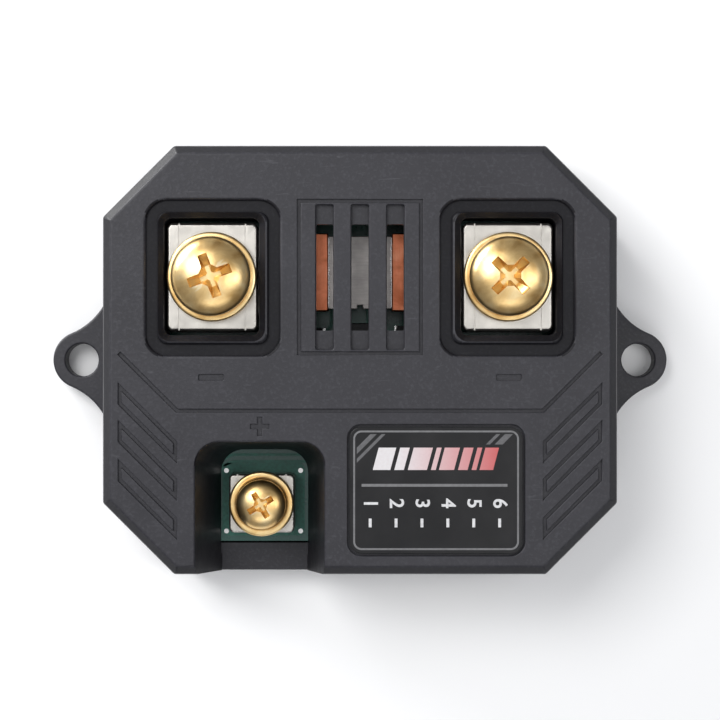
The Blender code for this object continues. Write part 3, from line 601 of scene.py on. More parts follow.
def surface(name, cells, stops, shine, bumps, streak=None, shine_cells=None, **inputs):
    """A clouded surface, with streaks where it was rolled, drawn or dragged.

    cells and shine_cells are arguments of Finish.noise, and stops and shine are the colours
    and roughness it runs through. streak is (cells, amount, colour). Each bump starts with
    "cloud", "streak", the scale of turning rings, or cells of its own.
    """
    f = Finish(name, **inputs)
    heights = {"cloud": f.noise(*cells)}
    tone = f.ramp(heights["cloud"], stops)
    if streak:
        streak_cells, amount, color = streak
        heights["streak"] = f.noise(*streak_cells)
        tone = f.mix(f.scale_value(heights["streak"], 0.0, amount, 0.45, 0.8), tone, color)
    f.color(tone)
    if shine:
        rough = f.noise(*shine_cells) if shine_cells else heights["cloud"]
        f.roughness(f.scale_value(rough, *shine))
    layers = []
    for source, distance, strength in bumps:
        if isinstance(source, str):
            height = heights[source]
        elif isinstance(source, float):
            height = f.rings(source)
        else:
            height = f.noise(*source)
        layers.append((height, distance, strength))
    f.bump(*layers)
    return f.material


def ink(name, color, shade=0.82):
    """Printed ink: slightly uneven, with a fine screen grain."""
    darker = tuple(channel * shade for channel in color)
    return surface(name, (2.5, 4), [(0.35, darker), (0.6, color)], None, [((8.0, 2), 0.004, 0.3)],
        roughness=0.48)


def title_ink():
    """Ink that runs from white on the left to coral on the right."""
    f = Finish("title_ink", roughness=0.45)
    split = f.nodes.new("ShaderNodeSeparateXYZ")
    f.links.new(f.coordinates, split.inputs["Vector"])
    along = f.scale_value(split.outputs["X"], 0.0, 1.0, LABEL_LOW.x + 3 * MM, LABEL_HIGH.x - 3 * MM)
    tone = f.ramp(along, [(0.2, (0.66, 0.65, 0.66)), (0.65, (0.58, 0.30, 0.31)),
        (1.0, (0.50, 0.07, 0.07))])
    f.color(f.mix(f.scale_value(f.noise(3.0, detail=4), 0.0, 0.25), tone, (0.35, 0.22, 0.22)))
    f.bump((f.noise(8.0, detail=2), 0.004, 0.3))
    return f.material


def solder_mask():
    """Green lacquer over the faint weave of the laminate."""
    f = Finish("solder_mask", roughness=0.28, Coat_Weight=0.2, Coat_Roughness=0.12)
    weave = f.node("TexBrick", ("Scale", 1.4), ("Mortar Size", 0.06), ("Color1", (0.0, 0.0, 0.0)),
        ("Color2", (0.35, 0.35, 0.35)), ("Mortar", (1.0, 1.0, 1.0)), ("Vector", f.mapping((1, 1, 1))))
    cloud = f.ramp(f.noise(0.2, detail=5), [(0.3, (0.010, 0.072, 0.056)), (0.7, (0.016, 0.105, 0.080))])
    fibre = f.mix(0.12, cloud, weave.outputs["Color"], "ADD")
    f.color(f.mix(0.93, fibre, (0.012, 0.085, 0.066)))
    f.roughness(f.scale_value(f.noise(0.8, detail=5), 0.2, 0.36))
    f.bump((f.noise(1.2, detail=4), 0.012, 0.4))
    return f.material


def brass_plate():
    """Yellow passivated hardware: turning marks, stains in the hollows, rubbed edges."""
    f = Finish("brass_plate", roughness=0.3, metallic=1.0)
    stain = f.noise(0.3, detail=7, distortion=0.6)
    tone = f.ramp(stain, [(0.28, (0.56, 0.33, 0.11)), (0.5, (0.80, 0.56, 0.25)),
        (0.72, (0.90, 0.72, 0.40))])
    pointiness = f.nodes.new("ShaderNodeNewGeometry").outputs["Pointiness"]
    edge = f.scale_value(pointiness, 0.0, 1.0, 0.52, 0.62)
    f.color(f.mix(f.scale_value(edge, 0.0, 0.6), tone, (0.97, 0.85, 0.58)))
    f.roughness(f.scale_value(f.noise(0.9, detail=6), 0.24, 0.42))
    f.bump((f.rings(2.2), 0.006, 0.25), (f.noise(2.2, detail=4), 0.016, 0.4))
    return f.material


def pale_floor():
    f = Finish("pale_floor", roughness=0.8)
    cloud = f.noise(0.004, detail=4)
    f.color(f.ramp(cloud, [(0.3, (0.94, 0.94, 0.94)), (0.7, (0.96, 0.96, 0.96))]))
    return f.material


PLASTIC = case_plastic("case_plastic", 0.95, 0.36, 0.045, 0.36, 0.54)
# Copy for the wells, their grooves and the sense notch: its darker colour is painted shade.
RECESS_PAINTED_SHADE = case_plastic("recess_plastic_painted_shade", 0.42, 0.16, 0.015, 0.36, 0.54)
# Copy for the bevel slopes: its darker colour is painted shade, and its lower roughness is a smoother
# finish.
POLISHED_AND_PAINTED_SHADE = case_plastic("bevel_plastic_painted_shade", 0.5, 0.42, 0.01, 0.26, 0.36)
WHITE_INK = ink("white_ink", (0.62, 0.62, 0.63))
GREY_INK = ink("grey_ink", (0.10, 0.10, 0.105))
LINE_INK = ink("line_ink", (0.15, 0.15, 0.155))
TITLE_INK = title_ink()
MASK = solder_mask()
TRACK_MASK = ink("track_mask", (0.024, 0.15, 0.11), 0.7)
BRASS = brass_plate()
FILM = surface("label_film", (0.25, 6), [(0.35, (0.007, 0.007, 0.008)), (0.7, (0.012, 0.012, 0.013))],
    (0.26, 0.42), [((1.6, 3), 0.006, 0.35)], Specular_IOR_Level=0.27)
SOLDER = surface("solder", (1.5, 5), [(0.3, (0.60, 0.60, 0.60)), (0.7, (0.80, 0.79, 0.77))],
    (0.16, 0.4), [((3.0, 3), 0.02, 0.4)], shine_cells=(2.0, 5), metallic=1.0)
TIN = surface("tin_plate", (0.35, 6), [(0.3, (0.44, 0.42, 0.385)), (0.7, (0.60, 0.575, 0.53))],
    (0.26, 0.46), [("streak", 0.012, 0.4), ((4.0, 3), 0.006, 0.3)],
    streak=((1.0, 6, (9.0, 0.5, 0.5)), 0.28, (0.50, 0.48, 0.45)), metallic=1.0)
COPPER = surface("bare_copper", (0.4, 7, (1, 1, 1), 0.5), [(0.3, (0.42, 0.12, 0.055)),
    (0.55, (0.70, 0.23, 0.12)), (0.75, (0.84, 0.34, 0.20))], (0.24, 0.44), [("streak", 0.012, 0.5)],
    streak=((1.0, 6, (6.0, 0.35, 1.0)), 0.35, (0.36, 0.10, 0.05)), metallic=1.0)
MANGANIN = surface("rolled_manganin", (0.5, 6), [(0.3, (0.34, 0.32, 0.31)), (0.7, (0.52, 0.49, 0.47))],
    (0.32, 0.5), [("streak", 0.012, 0.5)], streak=((1.0, 6, (0.5, 7.0, 1.0)), 0.4, (0.24, 0.22, 0.21)),
    metallic=1.0)
STEEL = surface("zinc_steel", (0.6, 7), [(0.3, (0.46, 0.47, 0.49)), (0.7, (0.66, 0.67, 0.69))],
    (0.26, 0.46), [(3.0, 0.006, 0.3), ((4.0, 3), 0.008, 0.3)], metallic=1.0)
NYLON = surface("ivory_nylon", (0.3, 5), [(0.3, (0.74, 0.71, 0.62)), (0.7, (0.83, 0.80, 0.72))],
    (0.34, 0.5), [((2.4, 3), 0.012, 0.35)], shine_cells=(1.5, 5), Subsurface_Weight=0.06,
    Subsurface_Radius=(0.6 * MM, 0.5 * MM, 0.35 * MM))
GILT = surface("gilt_pin", (0.8, 5), [(0.3, (0.72, 0.52, 0.2)), (0.7, (0.90, 0.72, 0.38))], (0.14, 0.3),
    [((1.0, 4, (8, 0.6, 8)), 0.006, 0.3)], metallic=1.0)
EPOXY = surface("chip_epoxy", (4.0, 4), [(0.35, (0.014, 0.014, 0.015)), (0.7, (0.028, 0.028, 0.03))],
    (0.48, 0.66), [("cloud", 0.012, 0.5)])
CAN = surface("drawn_aluminium", (1.0, 6, (6.0, 6.0, 0.3)),
    [(0.3, (0.62, 0.63, 0.65)), (0.7, (0.80, 0.81, 0.83))], (0.2, 0.38), [("cloud", 0.008, 0.4)],
    metallic=1.0)


# ---- base tray

def ear_outline(margin=0.0):
    """Right-hand ear: a round end that flares into the case wall."""
    reach = EAR_HOLE_X - EAR_ROOT_X
    spread = math.sqrt((EAR_FILLET_RADIUS + EAR_RADIUS) ** 2 - (EAR_FILLET_RADIUS - reach) ** 2)
    flare = (EAR_ROOT_X + EAR_FILLET_RADIUS, spread)
    tilt = math.degrees(math.atan2(flare[1], flare[0] - EAR_HOLE_X))
    root = EAR_ROOT_X - 1.0 * MM
    inner = EAR_FILLET_RADIUS - margin
    points = [(root, -spread)]
    points += arc((flare[0], -spread), inner, 180, 180 - tilt, 16)
    points += arc((EAR_HOLE_X, 0), EAR_RADIUS + margin, -tilt, tilt, 28)[1:-1]
    points += arc(flare, inner, 180 + tilt, 180, 16)
    points.append((root, spread))
    return points


def rounded_plate(outline_at, bottom, top, radius):
    """Plate with quarter-round edges above and below."""
    pairs = []
    for step in range(LIP_STEPS + 1):
        angle = math.radians(90 * step / LIP_STEPS)
        pairs.append((radius * (math.sin(angle) - 1), radius * (1 - math.cos(angle))))
    levels = [(outline_at(margin), bottom + rise) for margin, rise in pairs]
    levels += [(outline_at(margin), top - rise) for margin, rise in reversed(pairs)]
    return stack(levels)


def softened(bm, width):
    """The solid with every edge rounded by width."""
    bmesh.ops.bevel(bm, geom=bm.edges[:] + bm.verts[:], offset=width, segments=2, profile=0.5,
        affect="EDGES", clamp_overlap=True)
    return bm


def make_base_tray():
    shell = stack([(case_outline(TRAY_EDGE), 0.0), (case_outline(0.0), TRAY_EDGE),
        (case_outline(0.1 * MM), TRAY_TOP)])
    foot = TRAY_FLOOR - PAST
    head = TRAY_TOP + 2 * PAST
    standing = [prism(circle(place, PILLAR_RADIUS), foot, head) for place in CASE_SCREWS]
    standing += [prism(circle((sx * POST_X, sy * POST_Y), POST_RADIUS, 32), foot, BOARD_LOW.z - GAP)
        for sx, sy in CORNERS]
    sill_half = NOTCH_FLOOR_HALF + SILL_MARGIN
    sill = brick((NOTCH_X - sill_half, -CASE_HALF_Y, foot), (NOTCH_X + sill_half, SILL_NORTH, head))
    hollow = cut(prism(case_outline(TRAY_WALL), TRAY_FLOOR, TRAY_TOP + PAST), standing, sill)

    ears = []
    holes = []
    for side, place_outline in ((1, list), (-1, mirrored)):
        ears.append(rounded_plate(lambda margin: place_outline(ear_outline(margin)), 0.0, EAR_THICKNESS,
            EAR_EDGE))
        holes.append(lipped(lambda margin: circle((side * EAR_HOLE_X, 0), EAR_HOLE_RADIUS + margin),
            -PAST, EAR_THICKNESS, LIP))
    profile = [(0, -PAST), (COUNTERBORE_RADIUS + LIP, -PAST), (COUNTERBORE_RADIUS + LIP, 0),
        (COUNTERBORE_RADIUS, LIP), (COUNTERBORE_RADIUS, COUNTERBORE_DEPTH),
        (CASE_SCREW_BORE, COUNTERBORE_DEPTH), (CASE_SCREW_BORE, TRAY_TOP + PAST), (0, TRAY_TOP + PAST)]
    bores = [shifted(turned(profile, 40), *place) for place in CASE_SCREWS]
    bm = combined(softened(shell, EDGE_ROUND), [("DIFFERENCE", hollow), ("UNION", ears),
        ("DIFFERENCE", holes), ("DIFFERENCE", bores)])
    finish_piece("tray_shell", bm, PLASTIC, slot="case", replaces=["base_tray"])


# ---- top cover

def notch_outline(height, margin=0.0):
    """Sense notch at a height: narrower toward the board, open to -Y."""
    rise = (height - ON_BOARD) / (COVER_TOP - ON_BOARD)
    half = NOTCH_FLOOR_HALF + (NOTCH_TOP_HALF - NOTCH_FLOOR_HALF) * rise + margin
    end = NOTCH_FLOOR_END + (NOTCH_TOP_END - NOTCH_FLOOR_END) * rise + margin
    mouth = -CASE_HALF_Y - 2 * MM
    radius = NOTCH_CORNER + margin
    points = [(NOTCH_X - half, mouth), (NOTCH_X + half, mouth)]
    points += arc((NOTCH_X + half - radius, end - radius), radius, 0, 90, 10)
    points += arc((NOTCH_X - half + radius, end - radius), radius, 90, 180, 10)
    return points


def line_strip(points, width):
    """Outline of a groove of the given width along an open line."""
    line = [complex(*point) for point in points]
    along = [(end - start) / abs(end - start) for start, end in zip(line, line[1:])]
    left = []
    right = []
    for place, before, after in zip(line, along[:1] + along, along + along[-1:]):
        middle = (before + after) / 2
        across = 1j * middle * width / 2 / abs(middle) ** 2
        left.append(place + across)
        right.append(place - across)
    return [(place.real, place.imag) for place in right + left[::-1]]


def rib_outline(center_y, inset):
    """Parallelogram that rises outward at 45 degrees, on the right side."""
    x0 = RIB_INNER_X + inset
    x1 = RIB_OUTER_X - inset
    half = RIB_HEIGHT / 2 - inset * math.sqrt(2.0)
    y0 = center_y + inset
    y1 = center_y + (RIB_OUTER_X - RIB_INNER_X) - inset
    return [(x0, y0 - half), (x1, y1 - half), (x1, y1 + half), (x0, y0 + half)]


def engraved(outline_at, depth, lip):
    """Cutter with a rounded rim, sunk into the cover's top."""
    return lipped(outline_at, COVER_TOP - depth, COVER_TOP, lip)


def line_cutters():
    bottom = COVER_TOP - LINE_DEPTH
    rise = LINE_END_X - LINE_TURN_X
    route = [(-LINE_END_X, LINE_Y + rise), (-LINE_TURN_X, LINE_Y), (LINE_TURN_X, LINE_Y),
        (LINE_END_X, LINE_Y + rise)]
    cutters = [engraved(lambda margin: line_strip(route, LINE_WIDTH + 2 * margin), LINE_DEPTH,
        FINE_LIP)]
    for center_y in RIB_CENTERS_Y:
        for flip in (list, mirrored):
            cutters.append(lipped_band(lambda margin: flip(rib_outline(center_y, -margin)),
                lambda margin: flip(rib_outline(center_y, LINE_WIDTH + margin)), bottom, COVER_TOP))

    def panel(margin):
        half_x = VENT_PANEL_WIDTH / 2 + margin
        half_y = VENT_PANEL_LENGTH / 2 + margin
        return box(-half_x, half_x, VENT_Y - half_y, VENT_Y + half_y)
    cutters.append(lipped_band(panel, lambda margin: panel(-LINE_WIDTH - margin), bottom, COVER_TOP))
    return cutters


def mark_cutters():
    """Bars under the heavy terminals and a plus sign above the sense notch."""
    cutters = [engraved(grown_box((side * TERMINAL_X, BAR_MARK_Y), 3.2 * MM, 0.8 * MM, 0.2 * MM, 3),
        MARK_DEPTH, MARK_LIP) for _, side in SIDES]
    cutters.append(engraved(lambda margin: moved(cross(1.2 * MM + margin, 0.6 * MM + 2 * margin,
        0.02 * MM), NOTCH_X, PLUS_MARK_Y), MARK_DEPTH, MARK_LIP))
    return cutters


def cover_hollow():
    """The hollow inside the cover, less everything that hangs from its top."""
    levels = [(case_outline(COVER_WALL), COVER_BOTTOM - PAST),
        (case_outline(COVER_WALL + COVER_DRAFT), CEILING)]
    collars = []
    for _, side in SIDES:
        well = grown_box((side * TERMINAL_X, TERMINAL_Y), WELL_WIDTH, WELL_LENGTH, WELL_CORNER)
        collars.append(prism(well(COLLAR_WALL), COLLAR_BOTTOM, CEILING + PAST))
    bosses = [prism(circle(place, BOSS_RADIUS, 40), COVER_BOTTOM, CEILING + 2 * PAST)
        for place in CASE_SCREWS]
    liner = stack([(notch_outline(ON_BOARD, NOTCH_WALL), ON_BOARD),
        (notch_outline(CEILING + PAST, NOTCH_WALL), CEILING + PAST)])
    return cut(stack(levels), collars, bosses, liner)


def in_recess(place):
    """Whether a place below the cover's top lies in a well, its groove or the notch."""
    if place.z > COVER_TOP - 0.02 * MM:
        return False
    near = 0.05 * MM
    near_well = (abs(abs(place.x) - GROOVE_X) < GROOVE_WIDTH / 2 + near
        and abs(place.y - GROOVE_Y) < GROOVE_LENGTH / 2 + near)
    in_notch = (abs(place.x - NOTCH_X) < NOTCH_TOP_HALF + near
        and COVER_DRAFT - CASE_HALF_Y < place.y < NOTCH_TOP_END + near)
    return near_well or in_notch


def on_bevel(face):
    """Whether a face is one of the slopes round the cover's top, rounded edges left out."""
    below_top = COVER_TOP - face.calc_center_median().z
    return 0.3 * MM < below_top < COVER_BEVEL_HEIGHT + 0.1 * MM and 0.5 < face.normal.z < 0.95


def make_top_cover():
    levels = [(case_outline(0.1 * MM), COVER_BOTTOM),
        (case_outline(COVER_DRAFT), COVER_TOP - COVER_BEVEL_HEIGHT),
        (case_outline(COVER_DRAFT + COVER_BEVEL_WIDTH), COVER_TOP)]
    wells = []
    grooves = []
    for _, side in SIDES:
        well = grown_box((side * TERMINAL_X, TERMINAL_Y), WELL_WIDTH, WELL_LENGTH, WELL_CORNER)
        wells.append(stack([(well(margin), COVER_TOP + rise) for margin, rise in (
            (0.0, COLLAR_BOTTOM - PAST - COVER_TOP), (0.0, -FUNNEL_DEPTH - 0.2 * MM),
            (0.1 * MM, -FUNNEL_DEPTH), (FUNNEL_WIDTH, 0.0), (FUNNEL_WIDTH, PAST))]))
        groove = grown_box((side * GROOVE_X, GROOVE_Y), GROOVE_WIDTH, GROOVE_LENGTH, GROOVE_CORNER)
        grooves.append(lipped_band(groove, lambda margin: groove(-GROOVE_BAND - margin),
            COVER_TOP - GROOVE_DEPTH, COVER_TOP, GROOVE_LIP))

    notch_bottom = COVER_BOTTOM - PAST
    notch_levels = [(notch_outline(notch_bottom), notch_bottom)]
    for margin, height in lip_levels(COVER_TOP, LIP):
        notch_levels.append((notch_outline(min(height, COVER_TOP), margin), height))
    channels = []
    slots = []
    for step in (-1, 0, 1):
        center = (step * VENT_PITCH, VENT_Y)
        channels.append(engraved(grown_box(center, VENT_SLOT_WIDTH, VENT_CHANNEL_LENGTH, 0.25 * MM, 3),
            VENT_CHANNEL_DEPTH, 0.18 * MM))
        slots.append(prism(rounded_box(center, VENT_SLOT_WIDTH - 0.1 * MM, VENT_SLOT_LENGTH, 0.2 * MM,
            3), CEILING - PAST, COVER_TOP + 2 * PAST))
    recess = grown_box((LABEL_X, LABEL_Y), LABEL_WIDTH + 2 * GAP, LABEL_LENGTH + 2 * GAP,
        LABEL_CORNER + GAP)
    half = (SOCKET_HIGH.x - SOCKET_LOW.x) / 2 + GAP
    window = brick((SOCKET_X - half, -CASE_HALF_Y - PAST, COVER_BOTTOM - PAST),
        (SOCKET_X + half, -CASE_HALF_Y + WINDOW_DEPTH, SOCKET_HIGH.z + GAP))
    bores = [prism(circle(place, CASE_SCREW_BORE, 32), COVER_BOTTOM - PAST, BOSS_BORE_TOP)
        for place in CASE_SCREWS]
    bm = cut(softened(stack(levels), EDGE_ROUND), cover_hollow(), wells, grooves,
        stack(notch_levels), channels, slots,
        engraved(recess, LABEL_RECESS_DEPTH, 0.15 * MM), line_cutters(), mark_cutters(), window,
        bores)
    # Faces in the recesses and on the bevel slopes take the darker copies of the plastic: painted
    # shade.
    for face in bm.faces:
        if in_recess(face.calc_center_median()):
            face.material_index = 1
        elif on_bevel(face):
            face.material_index = 2
    finish_piece("cover_shell", bm, [PLASTIC, RECESS_PAINTED_SHADE, POLISHED_AND_PAINTED_SHADE], slot="case", replaces=["top_cover"])


# ---- label

def printed(name, outlines, material):
    """Ink on the label's face."""
    marks = [prism(outline, LABEL_HIGH.z - INK, LABEL_HIGH.z + INK) for outline in outlines]
    finish_piece(name, marks, material, slot="label_film")


def slanted(x, y, width, rise, shift):
    """Upright bar that leans right by shift over its rise."""
    return [(x, y), (x + width, y), (x + width + shift, y + rise), (x + shift, y + rise)]


def make_label():
    outline_at = grown_box((LABEL_X, LABEL_Y), LABEL_WIDTH, LABEL_LENGTH, LABEL_CORNER, 12)
    film = rounded_plate(outline_at, LABEL_LOW.z, LABEL_HIGH.z, 0.08 * MM)
    finish_piece("label_film", film, FILM, slot="label_film", replaces=["label_plate"])
    face = LABEL_HIGH.z
    border = band(outline_at(-0.45 * MM), outline_at(-0.68 * MM), face - INK, face + INK)
    finish_piece("label_border", border, LINE_INK, slot="label_film")

    left = LABEL_LOW.x
    right = LABEL_HIGH.x
    top = LABEL_HIGH.y
    corner_x = left + STRIPE_INSET
    corner_y = top - STRIPE_INSET
    stripes = []
    for start, width in ((1.7 * MM, 0.8 * MM), (3.1 * MM, 0.5 * MM)):
        stripes.append([(corner_x, corner_y - start - width), (corner_x + start + width, corner_y),
            (corner_x + start, corner_y), (corner_x, corner_y - start)])
    for start, width in ((0.3 * MM, 1.0 * MM), (1.9 * MM, 0.5 * MM)):
        stripes.append(slanted(right - STRIPE_INSET - start - width - STRIPE_REACH,
            corner_y - STRIPE_REACH, width, STRIPE_REACH, STRIPE_REACH))
    printed("label_stripes", stripes, GREY_INK)

    bars = []
    x = left + 2.9 * MM
    for width, gap in TITLE_BARS:
        bars.append(slanted(x, top - 5.4 * MM, width * MM, 2.8 * MM, 0.75 * MM))
        x += (width + gap) * MM
    printed("label_title_bars", bars, TITLE_INK)
    printed("label_rule", [box(left + 1.5 * MM, right - 1.9 * MM, top - 7.5 * MM, top - 7.15 * MM)],
        LINE_INK)

    for index, pin in enumerate(PINS, start=1):
        x = SOCKET_X + (placed(pin)[2][0] - SOCKET_X) * PIN_NUMBER_SPREAD
        font = bpy.data.curves.new("pin_number_%d" % index, "FONT")
        font.body = str(index)
        font.size = 2.5 * MM
        font.align_x = "CENTER"
        font.align_y = "CENTER"
        font.extrude = INK
        font.offset = 0.04 * MM
        font.materials.append(WHITE_INK)
        number = add("pin_number_%d" % index, font)
        number.location = (x, top - 9.6 * MM, face)
        number.rotation_euler = (0, 0, math.radians(-90))
        bpy.context.view_layer.update()
        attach(number, HOUSING)
        tick = box(x - 0.18 * MM, x + 0.18 * MM, top - 12.6 * MM, top - 11.5 * MM)
        printed("pin_tick_%d" % index, [tick], WHITE_INK)


# ---- terminals, screws

def make_block(node, bore_radius, edge, fold):
    """Tinned block: rounded edges, a countersunk bore and the bend lines of its strap."""
    low, high, center = placed(node)
    outline_at = grown_box(center, high.x - low.x, high.y - low.y, 0.7 * MM, 6)
    rim = bore_radius + 0.4 * MM
    bore = turned([(0, ON_BOARD - PAST), (bore_radius, ON_BOARD - PAST),
        (bore_radius, high.z - 0.4 * MM), (rim, high.z), (rim, high.z + PAST), (0, high.z + PAST)], 48)
    folds = []
    for x in (low.x + fold, high.x - fold):
        folds.append(brick((x - 0.09 * MM, low.y - PAST, high.z - 0.14 * MM),
            (x + 0.09 * MM, high.y + PAST, high.z + PAST)))
    bm = cut(rounded_plate(outline_at, ON_BOARD, high.z, edge), shifted(bore, *center), folds)
    replace_piece(node, "tinned", bm, TIN, "tinned_metal")
    return low.z, center


def make_legs(name, places, foot):
    """Solder legs, each with a fillet of solder under the board."""
    legs = [prism(rounded_box(place, LEG_SIDE, LEG_SIDE, 0.2 * MM, 3), foot, ON_BOARD + 0.05 * MM)
        for place in places]
    finish_piece(name + "_legs", legs, TIN, slot="tinned_metal")
    fillet = [(radius * MM, -height * MM) for radius, height in FILLET]
    fillets = [shifted(turned(fillet, 32, closed=True), x, y, BOARD_LOW.z) for x, y in places]
    finish_piece(name + "_solder", fillets, SOLDER, slot="tinned_metal")


def screw_shape(seat, shank, head, height, length, pitch):
    """Pan head screw about Z: a threaded shank and a domed head with a cross recess."""
    dome = [(0.0, seat + 0.01 * MM), (shank * 0.9, seat + 0.01 * MM), (shank * 0.9, seat),
        (head - 0.3 * MM, seat), (head - 0.08 * MM, seat + 0.08 * MM), (head, seat + 0.3 * MM)]
    base = seat + height * 0.36
    for x, y in arc((0, 0), 1.0, 0, 90, 14):
        dome.append((head * x ** 0.9 if x > 0 else 0.0, base + (height * 0.64) * y))
    dome[-1] = (0.0, seat + height)
    top = seat + height
    wide = cross(head * 0.60, head * 0.26, head * 0.12)
    middle = cross(head * 0.50, head * 0.20, head * 0.09)
    narrow = cross(head * 0.27, head * 0.10, head * 0.05)
    recess = stack([(narrow, seat + height * 0.42), (middle, seat + height * 0.74), (wide, top),
        (wide, top + PAST)])
    rows = int(length / (pitch / THREAD_ROWS))
    tip = seat - length
    thread = bmesh.new()
    rings = []
    for row in range(rows + 1):
        z = tip + length * row / rows
        chamfer = (1.0 - min(1.0, (z - tip) / (1.2 * MM))) * 0.5 * MM
        plain = min(1.0, max(0.0, (seat - 0.6 * MM - z) / (0.5 * MM)))
        ring = []
        for step in range(THREAD_STEPS):
            angle = math.tau * step / THREAD_STEPS
            wave = abs(2.0 * ((z / pitch - angle / math.tau) % 1.0) - 1.0)
            groove = pitch * THREAD_DEPTH * min(1.0, max(0.0, (wave - 0.12) / 0.76)) * plain
            radius = shank - groove - chamfer
            ring.append(thread.verts.new((radius * math.cos(angle), radius * math.sin(angle), z)))
        rings.append(ring)
    close_rings(thread, rings)
    return merged([cut(turned(dome, 72), recess), thread])


def make_screw(node, body, bore_radius, pitch, turn, head_height):
    low, high, center = placed(node)
    bm = screw_shape(-head_height, bore_radius - 0.12 * MM, (high.x - low.x) / 2, head_height,
        high.z - head_height - low.z, pitch)
    rotated(bm, turn)
    replace_piece(node, "threaded", bm, BRASS, "terminal_brass", body=body,
        location=(*center, high.z), smooth=38)


def make_washer(node, body, bore_radius):
    low, high, center = placed(node)
    outer = (high.x - low.x) / 2
    thickness = high.z - low.z
    r = 0.22 * MM
    profile = [(bore_radius, r / 2), (bore_radius + r / 2, 0)]
    profile += arc((outer - r, r), r, -90, 0, 4)
    profile += arc((outer - r * 1.6, thickness - r * 1.6), r * 1.6, 0, 90, 6)
    profile += [(bore_radius + 1.2 * MM, thickness), (bore_radius + 1.1 * MM, thickness - 0.08 * MM),
        (bore_radius + 0.1 * MM, thickness - 0.08 * MM), (bore_radius, thickness - 0.18 * MM)]
    replace_piece(node, "turned", turned(profile, 96, closed=True), BRASS, "terminal_brass",
        body=body, location=(*center, low.z), smooth=40)


def make_terminals():
    for name, _ in SIDES:
        node = "terminal_block_" + name
        foot, center = make_block(node, HEAVY_BORE, 0.4 * MM, 1.5 * MM)
        places = [(center[0] + sx * HEAVY_LEG_SPREAD, center[1] + sy * HEAVY_LEG_SPREAD)
            for sx, sy in CORNERS]
        make_legs(node, places, foot)
        make_washer("terminal_washer_" + name, name + "_washer", HEAVY_BORE)
        make_screw("terminal_screw_" + name, name + "_screw", HEAVY_BORE, HEAVY_PITCH,
            HEAVY_TURNS[name], HEAVY_HEAD)
    foot, center = make_block("sense_terminal_block", SENSE_BORE, 0.3 * MM, 1.1 * MM)
    places = [(center[0] + sx * SENSE_LEG_SPREAD, center[1]) for sx in (-1, 1)]
    make_legs("sense_terminal_block", places, foot)
    make_washer("sense_terminal_washer", "sense_washer", SENSE_BORE)
    make_screw("sense_terminal_screw", "sense_screw", SENSE_BORE, SENSE_PITCH, SENSE_TURN, SENSE_HEAD)


# ---- measuring element

def make_measuring_element():
    slot_low = STRIP_LOW.z - GAP
    slot_high = STRIP_HIGH.z + GAP
    mouth = STRIP_HIGH.x + GAP
    for name, side in SIDES:
        profile = [(BAR_LOW.x, BAR_LOW.z), (BAR_HIGH.x, BAR_LOW.z), (BAR_HIGH.x, BAR_HIGH.z),
            (BAR_LOW.x, BAR_HIGH.z), (BAR_LOW.x, slot_high), (mouth, slot_high), (mouth, slot_low),
            (BAR_LOW.x, slot_low)]
        bar = prism_along_y([(side * x, z) for x, z in profile], BAR_LOW.y, BAR_HIGH.y)
        node = "copper_bar_" + name
        replace_piece(node, "milled", bar, COPPER, "bare_copper", bevel=0.14 * MM)
        seam = []
        for low, high in ((slot_low, STRIP_LOW.z), (STRIP_HIGH.z, slot_high)):
            x0, x1 = sorted((side * (BAR_LOW.x - 0.15 * MM), side * (BAR_LOW.x + 0.7 * MM)))
            seam.append(softened(brick((x0, STRIP_LOW.y + 0.2 * MM, low + 0.01 * MM),
                (x1, STRIP_HIGH.y - 0.2 * MM, high - 0.01 * MM)), 0.05 * MM))
        finish_piece(node + "_braze", seam, SOLDER, slot="tinned_metal")
        joint_x = side * (BAR_HIGH.x + GAP / 2)
        joint = softened(brick((joint_x - 0.25 * MM, BAR_LOW.y - 0.3 * MM, BAR_LOW.z - 0.3 * MM),
            (joint_x + 0.25 * MM, BAR_HIGH.y + 0.3 * MM, BAR_HIGH.z + 0.25 * MM)), 0.15 * MM)
        finish_piece(node + "_joint", joint, SOLDER, slot="tinned_metal")
    strip = brick(STRIP_LOW, STRIP_HIGH)
    trim = brick((-0.35 * MM, STRIP_LOW.y - PAST, STRIP_LOW.z - PAST),
        (0.35 * MM, STRIP_LOW.y + 0.5 * MM, STRIP_HIGH.z + PAST))
    replace_piece("manganin_strip", "rolled", cut(strip, trim), MANGANIN, "manganin",
        bevel=0.08 * MM)


# ---- data socket

def make_socket():
    shell = softened(brick(SOCKET_LOW, SOCKET_HIGH), 0.15 * MM)
    cavity = brick((SOCKET_LOW.x + SOCKET_WALL, SOCKET_LOW.y - PAST, SOCKET_LOW.z + SOCKET_WALL),
        (SOCKET_HIGH.x - SOCKET_WALL, SOCKET_HIGH.y - SOCKET_BACK_WALL, SOCKET_HIGH.z - SOCKET_WALL))
    keys = [brick((x - 0.8 * MM, SOCKET_LOW.y - PAST, SOCKET_HIGH.z - SOCKET_WALL - 0.5 * MM),
        (x + 0.8 * MM, SOCKET_LOW.y + 4 * MM, SOCKET_HIGH.z + PAST))
        for x in (SOCKET_X - KEY_SPREAD, SOCKET_X + KEY_SPREAD)]
    replace_piece("cable_socket", "moulded", cut(shell, cavity, keys), NYLON, "ivory_nylon")
    for pin in PINS:
        make_pin(pin)


